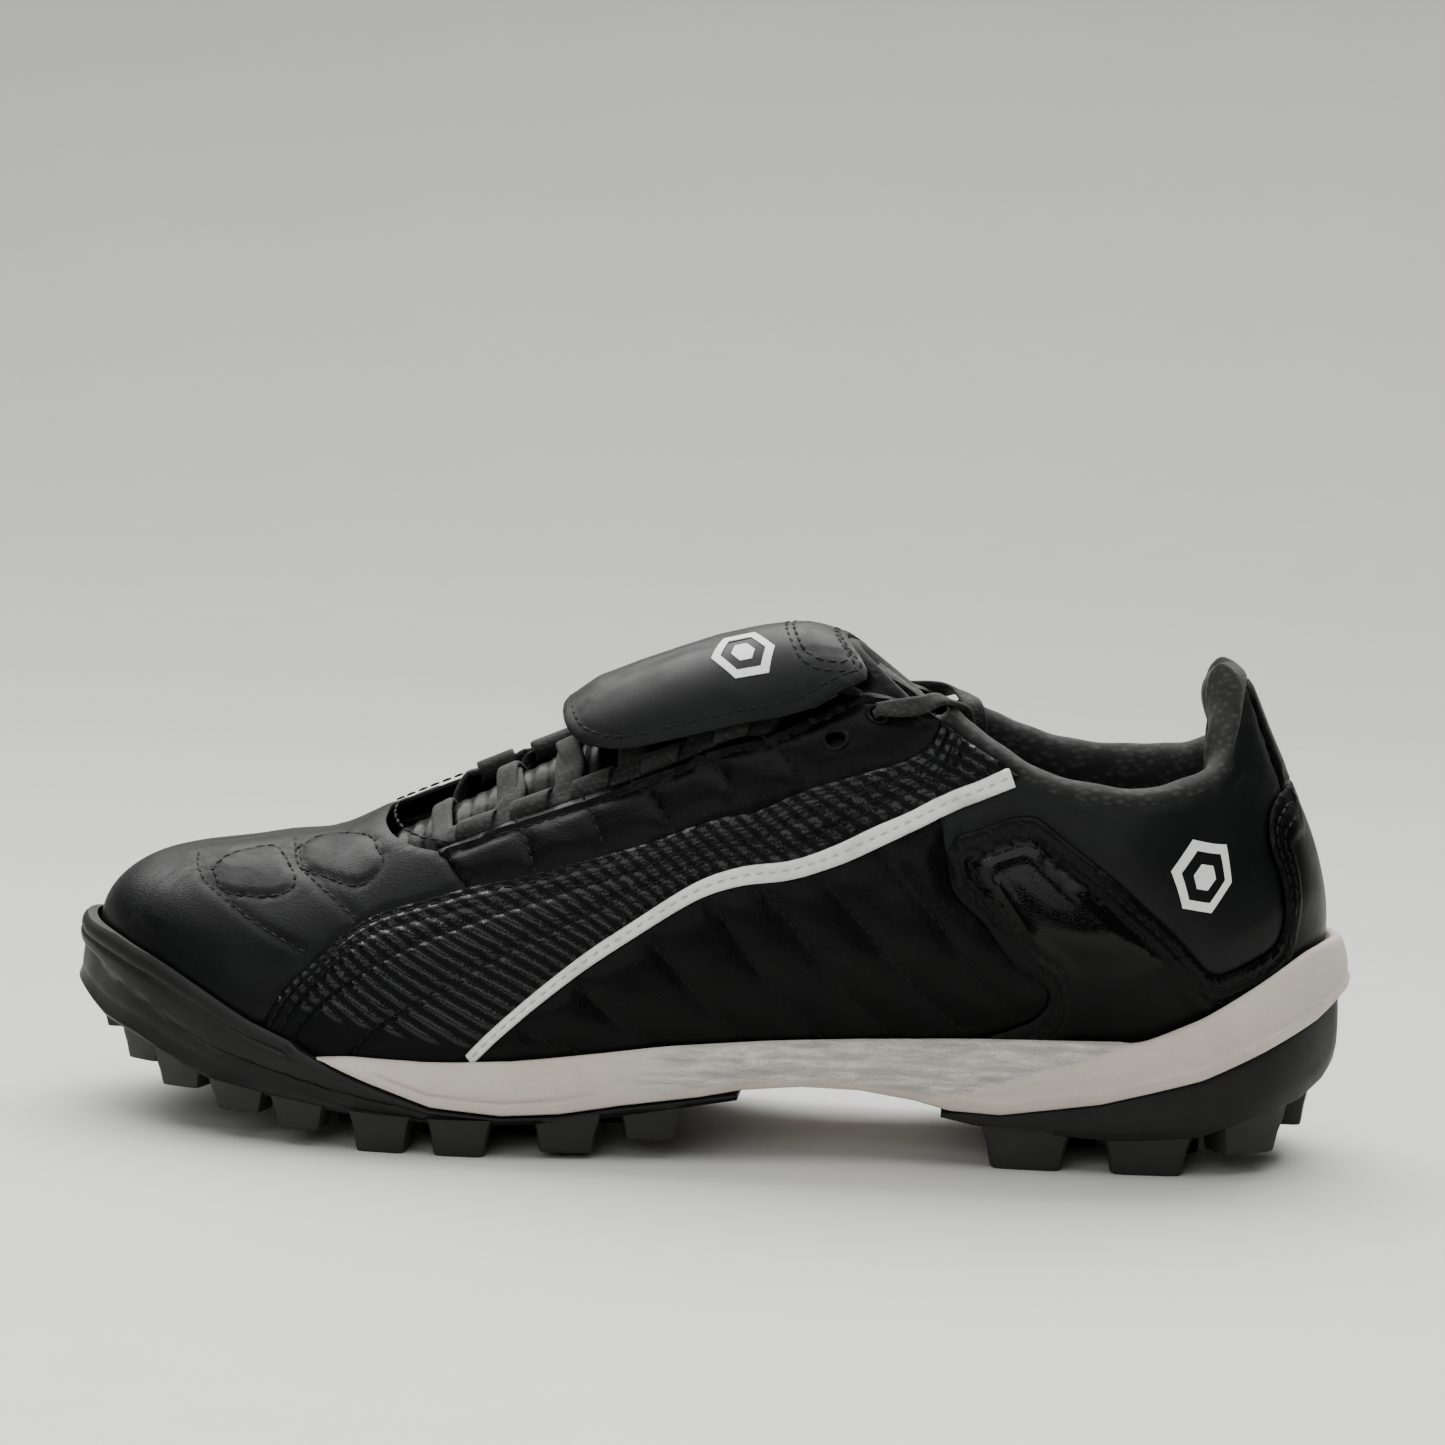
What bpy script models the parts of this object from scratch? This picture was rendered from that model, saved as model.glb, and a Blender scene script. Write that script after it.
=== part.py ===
"""Low-cut turf football shoe, left foot, size EU 43.

The shoe lies along X with the toe at -X and the heel at +X. The lateral side faces -Y and the medial side +Y.
Z is up, and z = 0 is the plane of the lowest lug faces. Lengths below are in millimetres; MM turns them into metres.
"""

import math

import bpy
import numpy as np
from mathutils import Vector
from mathutils.geometry import delaunay_2d_cdt

for item in list(bpy.data.objects):
    bpy.data.objects.remove(item, do_unlink=True)

MM = 0.001

# ---- driving dimensions -------------------------------------------------------------------------------------------
LEATHER = 1.2          # outer leather
SKIN_OUT = -0.1        # outer face of the base leather, measured from the design surface
OVERLAY_IN = 0.22      # inner face of the overlaid parts: heel counter, piping, back strap
OVERLAY_OUT = 1.35
BOARD_OUT, BOARD_IN = -2.6, -3.1     # toe puff and heel stiffener
LINING_OUT, LINING_IN = -3.9, -4.8
COLLAR_PAD = 5.4       # collar foam thickness
SEAM = 0.28            # half of the gap between two neighbouring panels
RAND = 2.7             # rubber rand thickness
LACE_W, LACE_T = 5.0, 1.5
FLAP_FOLD_X, FLAP_FOLD_Z = 22.2, 118.6
EYELET_R = 2.1
CENTRE_X, CENTRE_Y = 0.495, -0.237   # brings the middle of the footprint to the origin

# ---- design surface -----------------------------------------------------------------------------------------------
# One rib per row, from the heel round the lateral side, the toe and the medial side:
# bottom point x, y; top point x, y, z; outward bulge; upright share; crown share; 1 for an upright wall, 0 for a dome
RIBS = np.array([
    (138, 0, 125.5, 0, 112, 9.5, .40, .40, 1),
    (133, -15, 125, -8, 110, 8.5, .40, .40, 1),
    (122, -25, 123.5, -15.5, 101, 7, .40, .40, 1),
    (108, -29.5, 119, -23, 90.5, 6, .40, .40, 1),
    (90, -30, 103, -30.5, 85.8, 6, .40, .40, 1),
    (68, -30, 82, -30, 87.5, 6, .40, .40, 1),
    (50, -31, 66, -27, 95.5, 6, .42, .40, 1),
    (36, -32, 54.5, -23, 102.5, 6, .45, .42, .8),
    (20, -34, 43, -15, 108.5, 6, .50, .47, .4),
    (2, -37, 24, 1, 112.5, 5.5, .50, .46, 0),
    (-20, -41, -6, 3, 103.5, 5, .46, .44, 0),
    (-45, -44, -37, 4, 90.6, 4.5, .44, .42, 0),
    (-70, -44, -65, 5, 78.2, 4, .46, .46, 0),
    (-92, -40.5, -88, 5, 67.8, 4, .50, .52, 0),
    (-112, -33.5, -103, 5, 64.8, 4.5, .55, .60, 0),
    (-130, -20.5, -112, 5, 62.8, 6, .60, .68, 0),
    (-141, 3, -117, 5, 61.8, 7, .62, .72, 0),
    (-132, 24, -112, 5, 62.8, 6, .60, .68, 0),
    (-113, 36.5, -103, 5, 64.8, 4.5, .55, .60, 0),
    (-92, 42, -88, 5, 67.8, 4, .50, .55, 0),
    (-70, 44, -65, 5, 78.2, 4, .50, .52, 0),
    (-45, 42.5, -37, 4, 90.6, 4, .52, .50, 0),
    (-20, 38, -6, 3, 103.5, 4, .55, .50, 0),
    (2, 33, 24, 1, 112.5, 4.5, .55, .50, 0),
    (20, 30, 43, 15, 108, 5, .52, .47, .4),
    (36, 28.5, 56, 22, 100.5, 5.5, .45, .42, .8),
    (50, 28, 66, 25.5, 95, 6, .42, .40, 1),
    (68, 28, 82, 28, 90, 6, .40, .40, 1),
    (90, 28.5, 103, 28.5, 89, 6, .40, .40, 1),
    (108, 28, 119, 22, 93, 6, .40, .40, 1),
    (122, 24, 123.5, 15.5, 102, 7, .40, .40, 1),
    (133, 14.5, 125, 8, 110, 8.5, .40, .40, 1),
], float)
NR = len(RIBS)
FOOTBED = np.array([(-150, 33), (-140, 29), (-120, 24), (-100, 19.5), (-80, 16.5), (-60, 15.5), (-40, 16), (-20, 18),
                    (0, 20.5), (20, 23), (40, 25), (60, 26.5), (80, 27.5), (100, 28), (120, 28.5), (150, 29)], float)


def table(rows):
    rows = np.array(rows, float)
    return lambda x: np.interp(x, rows[:, 0], rows[:, 1])


footbed = table(FOOTBED)


def spline(rows, u):
    u = np.asarray(u, float) % NR
    i = np.floor(u).astype(int)
    f = (u - i)[..., None]
    a, b, c, d = rows[(i - 1) % NR], rows[i % NR], rows[(i + 1) % NR], rows[(i + 2) % NR]
    return 0.5 * (2 * b + (c - a) * f + (2 * a - 5 * b + 4 * c - d) * f * f + (3 * b - a - 3 * c + d) * f ** 3)


def rail(u):
    """Bottom rail point and its outward direction in plan."""
    u = np.asarray(u, float)
    p = spline(RIBS[:, :2], u)
    d = spline(RIBS[:, :2], u + .05) - spline(RIBS[:, :2], u - .05)
    n = np.stack([-d[..., 1], d[..., 0]], -1)
    return p, n / np.linalg.norm(n, axis=-1, keepdims=True)


def surf(u, t):
    u, t = np.broadcast_arrays(np.asarray(u, float), np.asarray(t, float))
    r = spline(RIBS, u)
    bx, by, tx, ty, tz, e, k1, k2, w = [r[..., k, None] for k in range(9)]
    n = rail(u)[1]
    zero = np.zeros(n.shape[:-1] + (1,))
    n = np.concatenate([n, zero], -1)
    zb = footbed(bx)
    bottom = np.concatenate([bx, by, zb], -1)
    top = np.concatenate([tx, ty, tz], -1)
    flat = np.concatenate([tx - bx, ty - by, zero], -1)
    up = np.array([0, 0, 1.0])
    high = tz - zb
    p1 = bottom + n * e * 2 + up * k1 * high
    dome = top - flat * k2
    wall = top - up * .36 * high + n * e * 1.1
    p2 = dome * (1 - w) + wall * w
    t = t[..., None]
    return bottom * (1 - t) ** 3 + 3 * p1 * t * (1 - t) ** 2 + 3 * p2 * t * t * (1 - t) + top * t ** 3


def unit(v):
    return v / np.maximum(np.linalg.norm(v, axis=-1, keepdims=True), 1e-9)


def skin(u, t, d=0.0):
    """Point of the upper, d outside the design surface. Beyond t = 1 it carries on up the collar, 100 mm per unit."""
    u, t = np.broadcast_arrays(np.asarray(u, float), np.asarray(t, float))
    tc = np.clip(t, 0, 1)
    p = surf(u, tc)
    dt = surf(u, np.clip(tc + .01, 0, 1)) - surf(u, np.clip(tc - .01, 0, 1))
    du = surf(u + .04, tc) - surf(u - .04, tc)
    n = unit(np.cross(dt, du))
    return p + n * np.asarray(d)[..., None] + unit(dt) * (np.maximum(t - 1, 0) * 100)[..., None]


def spread(u, t):
    """Plan map of the upper, spread out so that the walls keep their height."""
    p, n = rail(u)
    top = spline(RIBS[:, 2:4], u)
    t = np.asarray(t, float)[..., None]
    return top * t + (p + n * 48) * (1 - t)


# ---- meshing ------------------------------------------------------------------------------------------------------
SLOTS = {}


def material(name, rgb, rough, metal=0.0, coat=0.0, sheen=0.0):
    mat = bpy.data.materials.new(name)
    mat.use_nodes = True
    shader = mat.node_tree.nodes["Principled BSDF"]
    shader.inputs["Base Color"].default_value = (*rgb, 1)
    shader.inputs["Roughness"].default_value = rough
    shader.inputs["Metallic"].default_value = metal
    shader.inputs["Coat Weight"].default_value = coat
    shader.inputs["Sheen Weight"].default_value = sheen
    SLOTS[name] = mat


material("satin_leather", (.014, .014, .015), .42, coat=.15)
material("gloss_leather", (.012, .012, .013), .28, coat=.35)
material("embossed_panel", (.013, .013, .014), .25, coat=.4)
material("moulded_counter", (.013, .013, .014), .22, coat=.3)
material("white_trim", (.78, .78, .76), .45)
material("textile", (.016, .016, .017), .85, sheen=.3)
material("felt", (.012, .012, .012), .95, sheen=.5)
material("patent", (.014, .014, .015), .18, coat=.5)
material("foam", (.16, .16, .15), .9)
material("board", (.42, .37, .30), .8)
material("sockliner", (.03, .03, .032), .85)
material("midsole", (.68, .66, .63), .55)
material("rubber", (.016, .016, .016), .62)
material("lace", (.014, .014, .014), .8, sheen=.3)
material("aglet", (.03, .03, .03), .25)


def build(name, points, faces, slot, smooth=40):
    mesh = bpy.data.meshes.new(name)
    mesh.from_pydata([((float(x) + CENTRE_X) * MM, (float(y) + CENTRE_Y) * MM, float(z) * MM) for x, y, z in points], [], faces)
    mesh.validate()
    mesh.materials.append(SLOTS[slot])
    mesh.update()
    obj = bpy.data.objects.new(name, mesh)
    bpy.context.scene.collection.objects.link(obj)
    mesh.calc_loop_triangles()
    co = np.array([v.co[:] for v in mesh.vertices])
    tri = np.array([t.vertices[:] for t in mesh.loop_triangles])
    if np.linalg.det(co[tri]).sum() < 0:
        mesh.flip_normals()
    if smooth:
        for poly in mesh.polygons:
            poly.use_smooth = True
        mesh.set_sharp_from_angle(angle=math.radians(smooth))
    return obj


def inside(points, poly):
    """Whether each point is inside the closed polygon."""
    points, poly = np.asarray(points, float), np.asarray(poly, float)
    x, y = points[:, 0, None], points[:, 1, None]
    a, b = poly, np.roll(poly, -1, 0)
    cross = (a[:, 1] > y) != (b[:, 1] > y)
    with np.errstate(divide="ignore", invalid="ignore"):
        at = (b[:, 0] - a[:, 0]) * (y - a[:, 1]) / (b[:, 1] - a[:, 1]) + a[:, 0]
    return (cross & (x < at)).sum(1) % 2 == 1


def gap_to(points, poly):
    """Distance of each point to the polygon's edge."""
    a, b = np.asarray(poly, float), np.roll(poly, -1, 0)
    ab = b - a
    ap = points[:, None, :] - a[None]
    s = np.clip((ap * ab).sum(-1) / np.maximum((ab * ab).sum(-1), 1e-12), 0, 1)
    return np.linalg.norm(ap - ab * s[..., None], axis=-1).min(1)


def area(poly):
    x, y = poly[:, 0], poly[:, 1]
    return .5 * (x * np.roll(y, -1) - np.roll(x, -1) * y).sum()


def shrink(poly, by):
    """The closed polygon moved in by this much at each corner."""
    if area(poly) < 0:
        by = -by
    e = np.roll(poly, -1, 0) - poly
    n = unit(np.stack([-e[:, 1], e[:, 0]], -1))
    m = unit(n + np.roll(n, 1, 0))
    cos = np.maximum((m * n).sum(-1, keepdims=True), .5)
    return poly + m * by / cos


def resample(line, step, closed=False):
    """The line through these points, at about this spacing, with its corners kept."""
    line = np.asarray(line, float)
    if closed:
        line = np.vstack([line, line[:1]])
    out = []
    for a, b in zip(line[:-1], line[1:]):
        n = max(1, int(round(np.linalg.norm(b - a) / step)))
        out += [a + (b - a) * k / n for k in range(n)]
    if not closed:
        out.append(line[-1])
    return np.array(out)


def triangulate(outer, holes, step):
    """Points and triangles that fill the outline, with inner points at about this spacing."""
    outline = [np.asarray(outer, float)] + [np.asarray(h, float) for h in holes]
    low, high = outline[0].min(0), outline[0].max(0)
    grid = []
    for j, y in enumerate(np.arange(low[1] + step * .5, high[1], step * .87)):
        for x in np.arange(low[0] + step * (.5 if j % 2 else .0), high[0], step):
            grid.append((x, y))
    grid = np.array(grid) if grid else np.zeros((0, 2))
    if len(grid):
        keep = inside(grid, outline[0]) & (gap_to(grid, outline[0]) > step * .55)
        for hole in outline[1:]:
            keep &= ~inside(grid, hole) & (gap_to(grid, hole) > step * .5)
        grid = grid[keep]
    points, edges, at = [], [], 0
    for loop in outline:
        points += [tuple(p) for p in loop]
        edges += [(at + k, at + (k + 1) % len(loop)) for k in range(len(loop))]
        at += len(loop)
    points += [tuple(p) for p in grid]
    verts, _, faces, *_ = delaunay_2d_cdt([Vector(p) for p in points], edges, [], 0, 1e-6)
    verts = np.array([v[:] for v in verts])
    kept = []
    for face in faces:
        mid = verts[list(face)].mean(0)[None]
        if inside(mid, outline[0])[0] and not any(inside(mid, h)[0] for h in outline[1:]):
            kept.append(tuple(face))
    return verts, kept


def shell(name, outer, at, low, high, slot, step, holes=(), smooth=40):
    """Closed sheet over a flat outline. at(xy, d) gives the 3-D point at offset d; low and high are its two faces."""
    verts, faces = triangulate(outer, holes, step)
    n = len(verts)
    lows = low(verts) if callable(low) else np.full(n, float(low))
    highs = high(verts) if callable(high) else np.full(n, float(high))
    points = np.vstack([at(verts, highs), at(verts, lows)])
    edges = {}
    for face in faces:
        for k in range(3):
            a, b = face[k], face[(k + 1) % 3]
            edges[(a, b)] = edges.get((a, b), 0) + 1
    quads = [(a, a + n, b + n, b) for a, b in edges if (b, a) not in edges]
    solid = list(faces) + [tuple(n + v for v in reversed(face)) for face in faces] + quads
    return build(name, points, solid, slot, smooth)


def loft(name, rings, slot, closed=False, smooth=40, caps=True):
    """Solid through these rings of points; open ends are filled."""
    rings = [np.asarray(r, float) for r in rings]
    m = len(rings[0])
    points = np.vstack(rings)
    faces = []
    last = len(rings) if closed else len(rings) - 1
    for k in range(last):
        a, b = k * m, ((k + 1) % len(rings)) * m
        for i in range(m):
            j = (i + 1) % m
            faces.append((a + i, a + j, b + j, b + i))
    if not closed and caps:
        faces.append(tuple(range(m))[::-1])
        faces.append(tuple(range((len(rings) - 1) * m, len(rings) * m)))
    return build(name, points, faces, slot, smooth)


# the upper's flat map, turned back into (u, t) by interpolation of known samples
class Upper:
    """Panels are drawn in (u, t); this keeps each flat point's (u, t) beside it."""

    def __init__(self):
        u = np.linspace(-16, 16, 257)
        t = np.linspace(0, 1, 41)
        self.U, self.T = np.meshgrid(u, t, indexing="ij")
        self.P = spread(self.U, self.T).reshape(-1, 2)

    def back(self, xy):
        """(u, t) of flat points, by Newton steps from the nearest sample. Near the ridge the other side is tried too."""
        xy = np.atleast_2d(xy)
        d = ((self.P[None] - xy[:, None]) ** 2).sum(-1)
        k = d.argmin(1)
        u0, t0 = self.U.reshape(-1)[k], self.T.reshape(-1)[k]
        u, t, miss = self.newton(xy, u0.copy(), np.minimum(t0, .97))
        v, s, other = self.newton(xy, -u0, np.minimum(t0, .97))
        swap = other < miss - 1e-4
        return np.where(swap, v, u), np.where(swap, s, t)

    def newton(self, xy, u, t):
        for _ in range(12):
            f = spread(u, t) - xy
            ju = (spread(u + .01, t) - spread(u - .01, t)) / .02
            jt = (spread(u, t + .01) - spread(u, t - .01)) / .02
            det = ju[:, 0] * jt[:, 1] - ju[:, 1] * jt[:, 0]
            det = np.where(np.abs(det) < 1e-6, 1e-6, det)
            su = (f[:, 0] * jt[:, 1] - f[:, 1] * jt[:, 0]) / det
            st = (ju[:, 0] * f[:, 1] - ju[:, 1] * f[:, 0]) / det
            u -= np.clip(su, -.5, .5)
            t = np.clip(t - np.clip(st, -.2, .2), 0, 1)
        return u, t, np.linalg.norm(spread(u, t) - xy, axis=-1)


UPPER = Upper()


def flat(line):
    line = np.asarray(line, float)
    return spread(line[:, 0], line[:, 1])


def curve(line, n=4):
    """Smooth line through (u, t) points."""
    line = np.asarray(line, float)
    p = np.vstack([2 * line[0] - line[1], line, 2 * line[-1] - line[-2]])
    out = []
    for k in range(1, len(p) - 2):
        a, b, c, d = p[k - 1], p[k], p[k + 1], p[k + 2]
        for f in np.arange(n) / n:
            out.append(.5 * (2 * b + (c - a) * f + (2 * a - 5 * b + 4 * c - d) * f * f + (3 * b - a - 3 * c + d) * f ** 3))
    out.append(line[-1])
    return np.array(out)


def medial(line):
    """The same line on the other side of the shoe."""
    line = np.array(line, float)
    line[:, 0] = -line[:, 0]
    return line[::-1]


def panel(name, outline, low, high, slot, step=13.0, gap=SEAM, holes=(), edge=11.0):
    """Leather piece of the upper over an outline in (u, t)."""
    outer = shrink(resample(flat(outline), edge, closed=True), gap)
    cut = []
    for u, t, r in holes:
        c = spread(np.array([u]), np.array([t]))[0]
        a = np.arange(8) * math.tau / 8
        cut.append(np.stack([c[0] + r * np.cos(a), c[1] + r * np.sin(a)], -1))

    def at(xy, d):
        u, t = UPPER.back(xy)
        return skin(u, t, d)

    return shell(name, outer, at, low, high, slot, step, cut)


# ---- seam lines, as (u, t) ------------------------------------------------------------------------------------------
def seam(line, step=8.0, n=2):
    """Smooth seam line, thinned once, so that both of its panels share the same corners."""
    line = curve(line, n)
    p = spread(line[:, 0], line[:, 1])
    keep = [0]
    for k in range(1, len(p) - 1):
        a, b, c = p[keep[-1]], p[k], p[k + 1]
        turn = abs(math.atan2((b - a)[0] * (c - b)[1] - (b - a)[1] * (c - b)[0], (b - a) @ (c - b)))
        far = np.linalg.norm(b - a)
        if far > step or (turn > math.radians(14) and far > step * .35):
            keep.append(k)
    return [tuple(line[k]) for k in keep] + [tuple(line[-1])]


EYE_CORNER = (11.38, .47)       # vamp, eyestay and side panel meet
ANKLE_CORNER = (6.68, .745)     # saddle, ankle quarter and piping meet
COUNTER_CORNER = (6.3, .645)    # saddle, ankle quarter and heel counter meet
SIDE_SEAM_A = seam([(13.4, 0), (13.25, .12), (13.05, .23), (12.75, .33), (12.5, .40), (12.2, .445), (11.85, .46), EYE_CORNER])
SIDE_SEAM_B = seam([EYE_CORNER, (10.6, .46), (10.05, .452), (9.55, .45), (9.1, .455), (8.75, .475), (8.3, .57), (7.8, .69), (7.2, .86), (6.95, 1)])
THROAT_L = seam([(11.72, .60), (11.15, .62), (10.65, .62), (10.2, .62), (9.65, .625), (9.2, .635), (8.9, .65), (8.55, .77), (8.35, .87), (8.15, .93), (7.75, .97), (7.25, 1)])
THROAT_M = seam([(-11.72, .86), (-11.15, .84), (-10.65, .84), (-10.2, .83), (-9.65, .82), (-9.2, .82), (-8.9, .825), (-8.55, .86), (-8.35, .90), (-8.15, .94), (-7.75, .975), (-7.25, 1)])
THROAT_FRONT = [(12.0, .65), (12.25, .73), (12.4, .83), (12.45, .93), (-12.45, .93), (-12.3, .89), (-12.0, .87)]
PIPING_A = seam([(11.3, 0), (11.22, .05), (11.05, .10), (10.8, .155), (10.5, .205), (10.15, .25), (9.75, .285), (9.3, .315), (8.8, .34),
                 (8.25, .38), (7.75, .46), (7.25, .59), ANKLE_CORNER])
PIPING_B = seam([ANKLE_CORNER, (6.35, .82), (6.0, .89), (5.5, 1)])
COUNTER_A = seam([(5.0, 0), (4.95, .05), (4.75, .075), (4.5, .12), (4.4, .19), (4.5, .26), (4.85, .33), (5.4, .47), (5.95, .54), COUNTER_CORNER])
COUNTER_B = seam([COUNTER_CORNER, (6.2, .71), (5.9, .77), (5.4, .875), (5.05, .88), (4.4, .76), (3.6, .56), (2.75, .33), (2.35, .25), (1.9, .26), (1.45, .29), (1.3, .35),
                  (1.3, .47), (1.45, .60), (1.35, .68), (.95, .71), (.62, .71)])
EYELETS_L = [(8.28, .71), (7.98, .865)]      # the front one is empty; the lace leaves through the rear one
EYELETS_M = [(-8.3, .76), (-7.98, .875)]
STRAP_EDGE = [(.62, .71), (.66, .85), (.75, 1)]

rim_z = table([(-150, 45.6), (-147.4, 45.6), (-143.7, 43.6), (-136.3, 42.5), (-125.1, 39.2), (-114.4, 34.2), (-101.4, 27.8), (-88.9, 23.3), (-83.8, 22.3), (-74.4, 21.6),
               (-55.5, 21.5), (-37.2, 22.7), (-22.6, 24.4), (-5.7, 26.5), (16.8, 28.1), (39.6, 29.1), (62.5, 30), (85.4, 30.7), (103.7, 31.3), (117.1, 37.2),
               (130.4, 45.4), (139.4, 51.3), (143.3, 52.9), (150, 53)])
ledge_z = table([(-150, 90), (-92, 60), (-83.8, 22.6), (-71.8, 15.9), (-57.6, 11.2), (-41.4, 9.9), (-27.7, 10.7), (-14.2, 12.9), (3.8, 15.1), (12.8, 16.8), (26.4, 17.8), (40.1, 17.3),
                 (53.9, 15.2), (60.9, 13.6), (72.4, 13.2), (95.2, 16.9), (117.7, 23.3), (131.2, 29.6), (142.5, 35.4), (148.4, 40), (152, 41)])
tread_z = table([(-152, 28.5), (-147.5, 26.5), (-140, 22.4), (-130.7, 20.2), (-119.9, 15.8), (-110.8, 12.7), (-99, 10.9), (-84.1, 8.9), (-69.6, 7.6), (-57.8, 7.4), (-41.5, 7.6),
                 (-27.8, 8.6), (-9.7, 10.9), (3.6, 12.9), (14, 14.6), (30, 14.6), (59, 11.5), (66, 10), (72.5, 9.2), (81.7, 8.5), (100.1, 8), (118.3, 9.4), (131.9, 13.9), (141.1, 16.2), (146.9, 19.9), (151, 25)])
SOLE_OUT = np.array([(11.2,), (9,), (7.5,), (5.5,), (5,), (4.5,), (4.5,), (4.5,), (4.8,), (5,), (5.2,), (5.5,), (5,), (5,), (5.5,), (7.2,), (9.7,), (7.2,), (5.5,), (5,), (5,), (5.2,), (5,), (5,),
                     (4.8,), (4.5,), (4.5,), (4.5,), (5,), (5.5,), (7.5,), (9,)])


def sole_out(u):
    return spline(SOLE_OUT, u)[..., 0]


def edge_xy(u, off):
    p, n = rail(u)
    return p + n * np.asarray(off)[..., None]


def ring(xy, z):
    return np.concatenate([xy, np.broadcast_to(np.asarray(z, float), xy.shape[:1])[:, None]], -1)


def rim_t(u):
    """Height on the upper, as t, where the sole's rim meets it."""
    t = np.linspace(0, .6, 121)
    uu, tt = np.meshgrid(u, t, indexing="ij")
    p = surf(uu, tt)
    above = p[..., 2] > rim_z(p[..., 0])
    return t[np.maximum(above.argmax(1), 3)]


def rings_solid(name, rings, slot, open_ends=False, smooth=38):
    """Rings round the sole, from the underside's edge over the wall to the floor's edge. Both flat ends are closed by strips."""
    m = len(rings[0])
    points = np.vstack(rings)
    faces = []
    for k in range(len(rings) - 1):
        for i in range(m):
            j = (i + 1) % m
            faces.append((k * m + i, k * m + j, (k + 1) * m + j, (k + 1) * m + i))
    for base, flip in ((0, True), ((len(rings) - 1) * m, False)):
        pairs = [(i, (m - 1 - i) if open_ends else (m - i) % m) for i in range(m // 2 + 1)]
        for (a, b), (c, d) in zip(pairs[:-1], pairs[1:]):
            quad = []
            for v in (a, c, d, b):
                if v not in quad:
                    quad.append(v)
            if len(quad) > 2 and c <= m // 2:
                face = tuple(base + v for v in quad)
                faces.append(face[::-1] if flip else face)
            if open_ends and c >= d:
                break
    return build(name, points, faces, slot, smooth)


def make_midsole():
    u = np.arange(64) * NR / 64
    so = sole_out(u)
    outer = edge_xy(u, so)
    tr = rim_t(u)
    zr = rim_z(surf(u, tr)[:, 0])
    zl = ledge_z(outer[:, 0])
    near = np.clip((zr - zl) / 3.5, 0, 1)
    s = np.minimum(near, np.minimum(np.roll(near, 1), np.roll(near, -1)))
    xc = edge_xy(u, so - RAND - .6)
    tread = tread_z(xc[:, 0])
    core = np.where(xc[:, 0] < 13.5, tread + 3.5, np.where(xc[:, 0] > 60, tread + 4.0, 99))
    core = np.minimum(core, zl - .5)
    off = so - (RAND + .6) * (1 - s)
    tm = tr * (1 - .6 * (1 - s))
    zm = surf(u, tm)[:, 2]
    ledge = np.where(near > 0, np.minimum(zl, zm - .6), zm - .6)
    core = np.minimum(core, ledge - .4)
    lip = skin(u, tm, .8)
    rim_off = off - 1.1 - .4 * (1 - s)
    high = np.maximum(zm - ledge, .5)
    rings = [ring(xc, core), ring(xc, ledge), ring(edge_xy(u, off), ledge), ring(edge_xy(u, off + .5 * s), ledge + high * .35), ring(edge_xy(u, off - .8 * (1 - s)), ledge + high * .75),
             ring(edge_xy(u, rim_off), zm), lip, skin(u, tm * .5, .8), ring(edge_xy(u, .8), footbed(edge_xy(u, 0)[:, 0]) - .45)]
    return rings_solid("midsole", rings, "midsole")


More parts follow.
